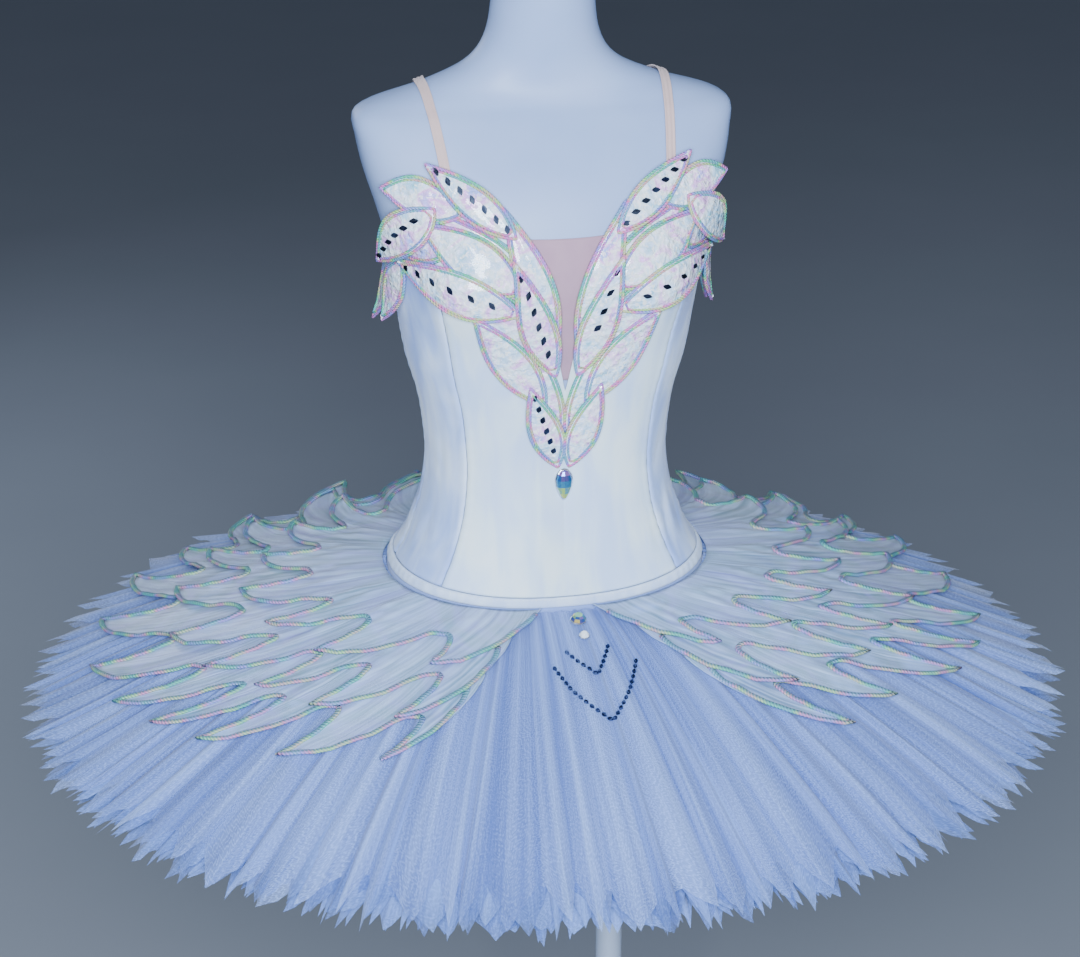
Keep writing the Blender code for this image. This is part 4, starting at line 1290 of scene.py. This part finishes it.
def make_tier(row, side):
    """One tier on one side: its satin, and the braid along its feathered edge."""
    chance = np.random.default_rng(row.seed * 10 + side)
    place, out, inside = tier_edge(row, chance)
    v = np.linspace(0, 1, TIER_ROWS)[:, None]
    points = tier_points(row, side, place[None, :], out[None, :], inside[None, :], v)
    name = side_name(row.name, side)
    obj = cloth(name + "_satin", points, "feathers", wall=FILM_WALL, flip=side > 0)
    edged = np.minimum(place, 1 - place) > FRONT_TAPER * 0.12
    path = tier_points(row, side, place, out, inside, np.ones(len(place)), BRAID_LIFT)[edged]
    upward = np.tile([0.0, 0.0, 1.0], (len(path), 1))
    cord = joined(name + "_cord", [tube_part(path, CORD_RADIUS, upward, 8, wide=BRAID_WIDE)], "cord")
    along, halfway = np.linspace(FRONT_TAPER, 1 - FRONT_TAPER, 200), np.full(200, 0.5)
    middle = tier_points(row, side, along, halfway, 0 * halfway, halfway)
    sheet(name)


# ================================================================ leaves
# Angles run from the centre front. A level is how many leaves lie under this one, and flare is how far
# the tip stands off. Dark stones lie in a row up the leaf, so many on the wearer's left and on the right.
LEAF = "name root_deg root_z tip_deg tip_z width root_level level flare left right"
LEAVES = table(
    LEAF,
    ("leaf_waist", 2.2, 1.080, 11, 1.198, 0.026, 0, 0, 0.0, 0, 0),
    ("leaf_low", 7.0, 1.130, 33, 1.227, 0.034, 1, 1, 0.0, 0, 0),
    ("leaf_point", 1.9, 1.063, 12.5, 1.150, 0.028, 0, 2, 0.0, 0, 6),
    ("leaf_neck", 3.8, 1.180, 16, 1.318, 0.032, 0, 0, 0.0, 0, 0),
    ("leaf_heart", 12.5, 1.184, 30, 1.258, 0.036, 0, 0, 0.0, 0, 0),
    ("leaf_inner", 3.4, 1.160, 17, 1.272, 0.031, 1, 2, 0.0, 4, 6),
    ("leaf_middle", 15.5, 1.244, 49, 1.304, 0.044, -0.2, 1, 0.0, 0, 0),
    ("leaf_breast", 16.0, 1.226, 66, 1.266, 0.036, 1.5, 2, 0.0, 6, 6),
    ("leaf_shoulder", 29.0, 1.314, 63, 1.333, 0.037, 0, 0, 0.004, 0, 0),
    ("leaf_top", 14.5, 1.292, 38, 1.352, 0.032, 1, 2, 0.001, 7, 7),
    ("leaf_side", 40.0, 1.317, 78, 1.262, 0.035, 2, 3, 0.006, 0, 6),
    ("leaf_wing", 83.0, 1.257, 98, 1.190, 0.032, -0.4, 0, 0.022, 0, 0),
    ("leaf_arm", 67.0, 1.264, 84, 1.198, 0.032, -0.4, 1, 0.014, 0, 0),
)
# Leaves that show only between the others, where the rows overlap.
UNDER_LEAVES = table(
    LEAF,
    ("leaf_hollow", 34.0, 1.290, 73, 1.278, 0.038, -0.6, -0.6, 0.0, 0, 0),
    ("leaf_gather", 9.0, 1.228, 42, 1.318, 0.040, -0.6, -0.6, 0.0, 0, 0),
    ("leaf_fold", 5.0, 1.128, 19, 1.226, 0.030, -0.6, -0.6, 0.0, 0, 0),
)
LEAF_ROWS = 34
LEAF_COLUMNS = 13
LEAF_BELLY = 0.85
LEAF_LIFT = 0.0018
LEAF_STEP = 0.0021
LEAF_ROOT = 0.3
LEAF_CROWN = 0.0021
LEAF_CRINKLE = 0.0007
LEAF_BOW = 0.05
BOW_TURNS_Z = 1.2
VEIN_DEPTH = 0.0006
VEIN_WIDTH = 0.14
OUTER_CORD_LIFT = 0.0003
INNER_CORD_LIFT = 0.0004
INNER_CORD_SPAN = 0.07, 0.93
LEAF_CORD = 0.00145
INNER_CORD = 0.00115
CORD_INSET = 0.0028
TIP_MERGE = 0.00002


def leaf_points(row, side, across, v, lift=0.0):
    """Points of a leaf: across runs from -1 to 1 and v from its root to its tip."""
    across, v = np.broadcast_arrays(np.asarray(across, float), np.asarray(v, float))
    start, end = math.radians(row.root_deg), math.radians(row.tip_deg)
    middle = FRONT + (start + end) / 2
    nearby = on_form(middle + 0.05, row.root_z) - on_form(middle - 0.05, row.root_z)
    per_radian = np.linalg.norm(nearby) / 0.1
    run = Vector(((end - start) * per_radian, row.tip_z - row.root_z)).normalized()
    half = leaf_half_width(row, v)
    bow = LEAF_BOW * row.width * np.sin(math.pi * v) * (1 if row.root_z > BOW_TURNS_Z else -1)
    sideways = across * half + bow
    angle = between(start, end, v) - sideways * run.y / per_radian
    z = between(row.root_z, row.tip_z, v) + sideways * run.x
    level = between(row.root_level, row.level, np.clip(v / LEAF_ROOT, 0, 1))
    crown = LEAF_CROWN if row.level >= 0 else LEAF_CROWN / 4
    crown = crown * (1 - across**2) * np.sin(math.pi * np.clip(v, 0, 1)) ** 0.7
    vein = -VEIN_DEPTH * bell(across, VEIN_WIDTH) * np.sin(math.pi * np.clip(v, 0, 1))
    seed = row.root_deg + 10 * side
    crinkle = np.sin(v * 31 + seed + across * 3) * np.sin(across * 5 + v * 17 + seed)
    crinkle = LEAF_CRINKLE * (1 - across**2) * crinkle
    out = BODICE_CLEAR + BODICE_WALL + LEAF_LIFT + level * LEAF_STEP + row.flare * v**2
    return on_form(FRONT + side * angle, z, out + crown + vein + crinkle + lift)


def leaf_half_width(row, v):
    """Half the width of a leaf this far up it."""
    return row.width / 2 * np.sin(math.pi * np.clip(v, 0, 1) ** LEAF_BELLY)


def leaf_outline(row, side, inset, lift, first, last):
    """A closed path round a leaf, this far in from its edge."""
    v = between(first, last, crowded(40, 0.8))
    half = np.maximum(leaf_half_width(row, v), 1e-6)
    across = np.clip(1 - inset / half, 0.02, 1)
    there = leaf_points(row, side, across, v, lift)
    back = leaf_points(row, side, -across[::-1], v[::-1], lift)
    path = np.concatenate([there, back[1:-1]])
    middle_angle = FRONT + side * math.radians((row.root_deg + row.tip_deg) / 2)
    up = normal_of(np.full(len(path), middle_angle), np.full(len(path), (row.root_z + row.tip_z) / 2))
    return path, up


def make_leaf(row, side):
    """A crinkled pearl leaf with two rows of cord round its edge."""
    name = side_name(row.name, side)
    v = crowded(LEAF_ROWS, 0.8)[:, None]
    across = np.linspace(-1, 1, LEAF_COLUMNS)[None, :]
    points = leaf_points(row, side, across, v)
    obj = cloth(name + "_film", points, "leaves", flip=side > 0)
    close_tips(obj)
    thicken(obj, FILM_WALL)
    outer = leaf_outline(row, side, 0.0, OUTER_CORD_LIFT, 0.0, 1.0)
    inner = leaf_outline(row, side, CORD_INSET, INNER_CORD_LIFT, *INNER_CORD_SPAN)
    cords = [
        tube_part(outer[0], LEAF_CORD, outer[1], 7, loop=True),
        tube_part(inner[0], INNER_CORD, inner[1], 6, loop=True),
    ]
    cord = joined(name + "_cord", cords, "leaf_cord")
    node = name if row in LEAVES else None
    sheet(node)


def close_tips(obj):
    """Merges the points that meet where a leaf narrows to nothing."""
    select_only(obj)
    with editing():
        bpy.ops.mesh.remove_doubles(threshold=TIP_MERGE)


# ================================================================ stones
# The sizes of the stones: length, width and height.
NAVETTE = (0.0090, 0.0049, 0.0027)
SMALL_STONE = (0.0062, 0.0042, 0.0022)
CLEAR_STONE = (0.0040, 0.0040, 0.0022)
CENTRE_STONE = (0.0150, 0.0150, 0.0065)
RING_STONE = (0.0098, 0.0098, 0.0042)
# A stone's girdle, crown and table: radius and height on a stone of unit length.
STONE_PROFILE = [(0.5, 0.0), (0.5, 0.25), (0.4, 0.70), (0.275, 1.0)]
STONE_SLANT = math.radians(-34)
STONE_OFFSET = 0.12
SETTING_RIM = 1.12
NAVETTE_TIP = 0.12
NAVETTE_CURVE = 2.2
LEAF_STONE_LIFT = 0.0008
STONE_ROW_TOP = 0.88
STONE_ROW_STEP = 0.11
# Pairs of clear stones: the first and last place up the leaf, and how far across it.
CLEAR_PAIRS = [(0.93, 0.965, 0.0), (0.14, 0.19, -0.2)]


def cut_stone(sides, pointed):
    """A faceted stone of unit length and width, with a flat foiled back; a navette is pointed."""
    obj = raised(STONE_PROFILE, sides)
    if pointed:
        for vert in obj.data.vertices:
            vert.co.y *= max(NAVETTE_TIP, 1 - (2 * abs(vert.co.x)) ** NAVETTE_CURVE)
    return obj


def scatter(name, cut, spots, finish):
    """One piece made of a copy of a cut stone at each spot: place, way up, way along, and size."""
    shape = np.array([vert.co for vert in cut.data.vertices])
    polygons = [list(polygon.vertices) for polygon in cut.data.polygons]
    points, faces = [], []
    for place, up, along, size in spots:
        up = Vector(up).normalized()
        across = up.cross(Vector(along)).normalized()
        frame_of = np.array([across.cross(up), across, up])
        faces += [[i + len(points) * len(shape) for i in polygon] for polygon in polygons]
        points.append(np.array(place) + (shape * np.array(size)) @ frame_of)
    obj = mesh_object(name, np.concatenate(points), faces, finish)
    set_facets(obj.data)


def set_facets(mesh, by_height=0.0):
    """A number for each facet, by which its finish takes its tone and painted glint, and how much of it
    follows the height.
    """
    heights = np.array([polygon.center.z for polygon in mesh.polygons])
    fall = (heights.max() - heights) / np.ptp(heights)
    values = np.random.default_rng(7).random(len(heights)) * (1 - by_height) + fall * by_height
    layer = mesh.attributes.new("facet", "FLOAT", "FACE")
    layer.data.foreach_set("value", values.astype(np.float32))


def leaf_spots(row, side, count, first, last, size, slant, offset=0.0):
    """Stones in a row up a leaf, each turned by the slant from the row."""
    spots = []
    for v in np.linspace(first, last, count):
        here = leaf_points(row, side, offset, v, LEAF_STONE_LIFT)
        ahead = leaf_points(row, side, offset, v + 0.02, LEAF_STONE_LIFT)
        beside = leaf_points(row, side, offset + 0.1, v, LEAF_STONE_LIFT)
        up = np.cross(ahead - here, beside - here) * -side
        along = math.cos(slant) * unit(ahead - here) + math.sin(slant) * unit(beside - here)
        spots.append((here, up, along, size))
    return spots


def net_spots(corners, spacing, lift):
    """Places along a line between corners, each an angle from the centre front and a share of the skirt."""
    angles, shares = np.radians([c[0] for c in corners]), np.array([c[1] for c in corners])
    fine = np.linspace(0, len(corners) - 1, 400)
    index = np.arange(len(corners))
    path = skirt_point(FRONT + np.interp(fine, index, angles), np.interp(fine, index, shares), NET_SEAT_TOP)
    path[:, 2] += lift
    steps = lengths_along(path)
    places = points_at(np.linspace(0, steps[-1], max(2, round(steps[-1] / spacing))), path, steps)
    return places, np.gradient(places, axis=0)


NET_SEAT_TOP = NET_LAYERS[0].seat
NET_STONE_LIFT = 0.0032
CHEVRONS = [
    [(-6.0, 0.240), (-3.6, 0.315), (1.5, 0.425), (6.2, 0.330), (10.0, 0.240)],
    [(-2.8, 0.185), (1.5, 0.270), (5.6, 0.175)],
]
CHEVRON_SPACING = 0.0072
NET_STONES = table(
    "name finish angle_deg share size",
    ("centre_stone", "aurora_stone", 1.5, 0.060, CENTRE_STONE),
    ("ring_stone", "clear_stone", 1.5, 0.125, RING_STONE),
)
TOP_NORMAL = (0.0, -0.22, 1.0)


def setting_size(size, height):
    """A thin setting's size round a stone of this size."""
    return [size[0] * SETTING_RIM, size[1] * SETTING_RIM, size[2] * height]


def make_stones():
    """Dark navettes up the leaves, small clear stones beside them, and the stones on the front of the net."""
    navette, disc = cut_stone(10, True), cut_stone(8, False)
    dark, clear, lined = [], [], []
    for side in (1, -1):
        for row in LEAVES:
            count = row.left if side > 0 else row.right
            if count:
                span = STONE_ROW_TOP - STONE_ROW_STEP * count, STONE_ROW_TOP
                dark += leaf_spots(row, side, count, *span, NAVETTE, side * STONE_SLANT, STONE_OFFSET)
            for *span, offset in CLEAR_PAIRS if row.level >= 1 else ():
                clear += leaf_spots(row, side, 2, *span, CLEAR_STONE, 0.0, offset)
    for corners in CHEVRONS:
        places, ways = net_spots(corners, CHEVRON_SPACING, NET_STONE_LIFT)
        lined += [(place, TOP_NORMAL, way, SMALL_STONE) for place, way in zip(places, ways)]
    ringed = [(place, up, along, setting_size(size, 0.45)) for place, up, along, size in dark]
    scatter("navette_stones", navette, dark, "dark_stone")
    scatter("navette_settings", navette, ringed, "dark_setting")
    scatter("clear_stones", disc, clear, "clear_stone")
    scatter("chevron_stones", navette, lined, "dark_stone")
    for stone in NET_STONES:
        place = skirt_point(FRONT + math.radians(stone.angle_deg), stone.share, NET_SEAT_TOP)
        spot = place + np.array([0, 0, NET_STONE_LIFT]), TOP_NORMAL, (1, 0, 0)
        scatter(stone.name, disc, [(*spot, stone.size)], stone.finish)
        scatter(stone.name + "_setting", disc, [(*spot, setting_size(stone.size, 0.4))], "setting")
    make_drop_jewel()
    for obj in (navette, disc):
        bpy.data.objects.remove(obj, do_unlink=True)


# The drop's stone and its setting: size across and depth against the solid's.
JEWEL_PIECES = table(
    "name finish node grow depth",
    ("drop_stone", "aurora_stone", "drop_jewel", 0.94, 1.0),
    ("drop_setting", "setting", None, 1.03, 0.55),
)
JEWEL_RISE = 0.007
JEWEL_TAPER = 0.9
JEWEL_FOOT = 1.25
JEWEL_MIDDLE = 0.055
SETTING_BACK = 0.3


def make_drop_jewel():
    """A faceted drop below the neckline's point, its foot drawn out, in a thin bright setting."""
    low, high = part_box("drop_jewel")
    middle = (low + high) / 2 + Vector((0, 0, JEWEL_RISE))
    size = high - low
    for piece in JEWEL_PIECES:
        obj = primitive("uv_sphere", segments=12, ring_count=7, radius=0.5)
        obj.name = piece.name
        for vert in obj.data.vertices:
            if vert.co.z < 0:
                vert.co.x *= 1 + JEWEL_TAPER * vert.co.z
                vert.co.z *= JEWEL_FOOT
        tall = size.z / ((1 + JEWEL_FOOT) / 2)
        grown = size.x * piece.grow, size.y * piece.depth, tall * piece.grow
        back = middle.y + (1 - piece.depth) * size.y * SETTING_BACK
        with editing():
            bpy.ops.transform.resize(value=grown, center_override=(0, 0, 0))
            bpy.ops.transform.translate(value=(middle.x, back, middle.z + size.z * JEWEL_MIDDLE))
        set_facets(obj.data, 0.75)
        finished(obj, piece.finish, piece.node)


# ================================================================ camera, floor and lights
FLOOR_BELOW = 0.0005


def add_camera():
    data = bpy.data.cameras.new("camera")
    data.lens = 91.9
    data.sensor_width = 36.0
    data.sensor_fit = "HORIZONTAL"
    data.clip_end = 60.0
    camera = placed("camera", data)
    camera.location = (-0.482, -2.453, 2.04)
    camera.rotation_euler = (math.radians(67.7), 0, math.radians(-11))
    bpy.context.scene.camera = camera


def add_floor():
    floor = primitive("plane", size=40, location=(0, 0, -FLOOR_BELOW))
    floor.name = "floor"
    bpy.ops.object.transform_apply(location=True, rotation=True, scale=True)
    floor.data.materials.append(paint_floor())


LAMPS = table(
    "name place aim size watts colour",
    ("key", (-0.5, -2.7, 2.15), (0, 0, 1.05), 1.1, 205, (0.80, 0.90, 1.0)),
    ("fill", (2.6, -2.2, 1.9), (0, 0, 1.0), 2.2, 14, (0.72, 0.83, 1.0)),
    ("top", (0.2, 0.4, 3.6), (0, 0, 0.9), 2.4, 13, (0.76, 0.86, 1.0)),
    ("back", (-1.6, 2.8, 2.2), (0, 0, 1.1), 1.6, 34, (0.72, 0.83, 1.0)),
)


def add_lights():
    for lamp in LAMPS:
        data = bpy.data.lights.new(lamp.name, "AREA")
        data.energy = lamp.watts
        data.color = lamp.colour
        data.size = lamp.size
        light = placed(lamp.name, data)
        light.location = lamp.place
        light.rotation_euler = (Vector(lamp.aim) - Vector(lamp.place)).to_track_quat("-Z", "Y").to_euler()
    world = bpy.data.worlds.new("studio")
    world.use_nodes = True
    background = world.node_tree.nodes["Background"]
    background.inputs["Color"].default_value = (0.56, 0.67, 0.88, 1.0)
    background.inputs["Strength"].default_value = 0.20
    bpy.context.scene.world = world


# ================================================================ everything, in order
# Facet tones: the lighter ones are painted glints, the clear stones' whites painted reflection; the drop's
# tones run with its height, partly its coating and partly painted reflection.
DARK_FACETS = [(0.003, 0.006, 0.02), (0.005, 0.010, 0.04), (0.012, 0.02, 0.08), (0.06, 0.09, 0.20)]
CLEAR_FACETS = [(0.66, 0.76, 0.92), (1.0, 1.0, 1.0), (0.86, 0.92, 1.0)]
AURORA_FACETS = [
    (0.34, 0.16, 0.46),
    (0.03, 0.09, 0.34),
    (0.04, 0.26, 0.44),
    (0.44, 0.66, 0.14),
    (0.82, 0.62, 0.20),
]
FINISH = {
    "satin": paint_satin("white_satin", (0.54, 0.71, 1.0), (0.67, 0.83, 1.0), (0.80, 0.93, 1.0)),
    # The same satin in darker tones for the side panels, as painted shade.
    "side_satin": paint_satin("side_satin", (0.28, 0.42, 0.84), (0.46, 0.61, 0.94), (0.68, 0.81, 1.0)),
    "binding": paint_binding(),
    "net_top": paint_net("net_top", (0.03, 0.085, 0.44), (0.36, 0.53, 1.0), 0.42, 0.0),
    # The under and close nets take darker tones of the same net: painted shade.
    "net_under": paint_net("net_under", (0.025, 0.07, 0.34), (0.22, 0.36, 0.78), 0.44, 0.6),
    "net_close": paint_net("net_close", (0.025, 0.07, 0.34), (0.22, 0.36, 0.78)),
    "feathers": paint_feathers(),
    "leaves": paint_leaves(),
    "cord": paint_cord("skirt_cord", (0.10, 0.22, 0.30), 0.62, 0.60, 20.0, 0.55),
    "leaf_cord": paint_cord("leaf_cord", (0.14, 0.27, 0.42), 0.90, 0.0, 24.0, 0.0),
    "flesh_mesh": paint_mesh_cloth("flesh_mesh", (0.34, 0.20, 0.30), (0.52, 0.34, 0.42), 0.0011),
    "elastic": paint_mesh_cloth("flesh_elastic", (0.52, 0.36, 0.36), (0.74, 0.56, 0.54), 0.0014),
    "flesh_thread": paint_mesh_cloth("flesh_thread", (0.60, 0.44, 0.44), (0.80, 0.64, 0.62), 0.0004),
    "white_thread": paint_mesh_cloth("white_thread", (0.70, 0.76, 0.90), (0.92, 0.95, 1.0), 0.0004),
    # The basque and brief are white knit, given dark blue tones as painted shade under the skirts.
    "basque": paint_mesh_cloth("shaded_basque_knit", (0.16, 0.25, 0.55), (0.30, 0.42, 0.80), 0.0012),
    "form": paint_form(),
    "stand": paint_stand(),
    "dark_stone": paint_stone("dark_stone", 0.28, 0.0, 0.02, *DARK_FACETS),
    "clear_stone": paint_stone("clear_stone", 0.05, 0.15, 0.6, *CLEAR_FACETS),
    "aurora_stone": paint_stone("aurora_stone", 0.05, 0.5, 0.5, *AURORA_FACETS),
    "setting": paint_metal("bright_setting", (0.74, 0.76, 0.80), (0.92, 0.93, 0.96), 0.18),
    "dark_setting": paint_metal("dark_setting", (0.03, 0.04, 0.07), (0.09, 0.11, 0.16), 0.42),
}


def main():
    add_camera()
    add_floor()
    add_lights()
    make_form()
    make_stand()
    make_bodice()
    make_insert()
    make_straps()
    make_binding()
    make_yoke()
    make_brief()
    for row in NET_LAYERS:
        make_net(row)
    for side in (1, -1):
        for row in TIERS:
            make_tier(row, side)
        for row in LEAVES + UNDER_LEAVES:
            make_leaf(row, side)
    make_stones()


main()
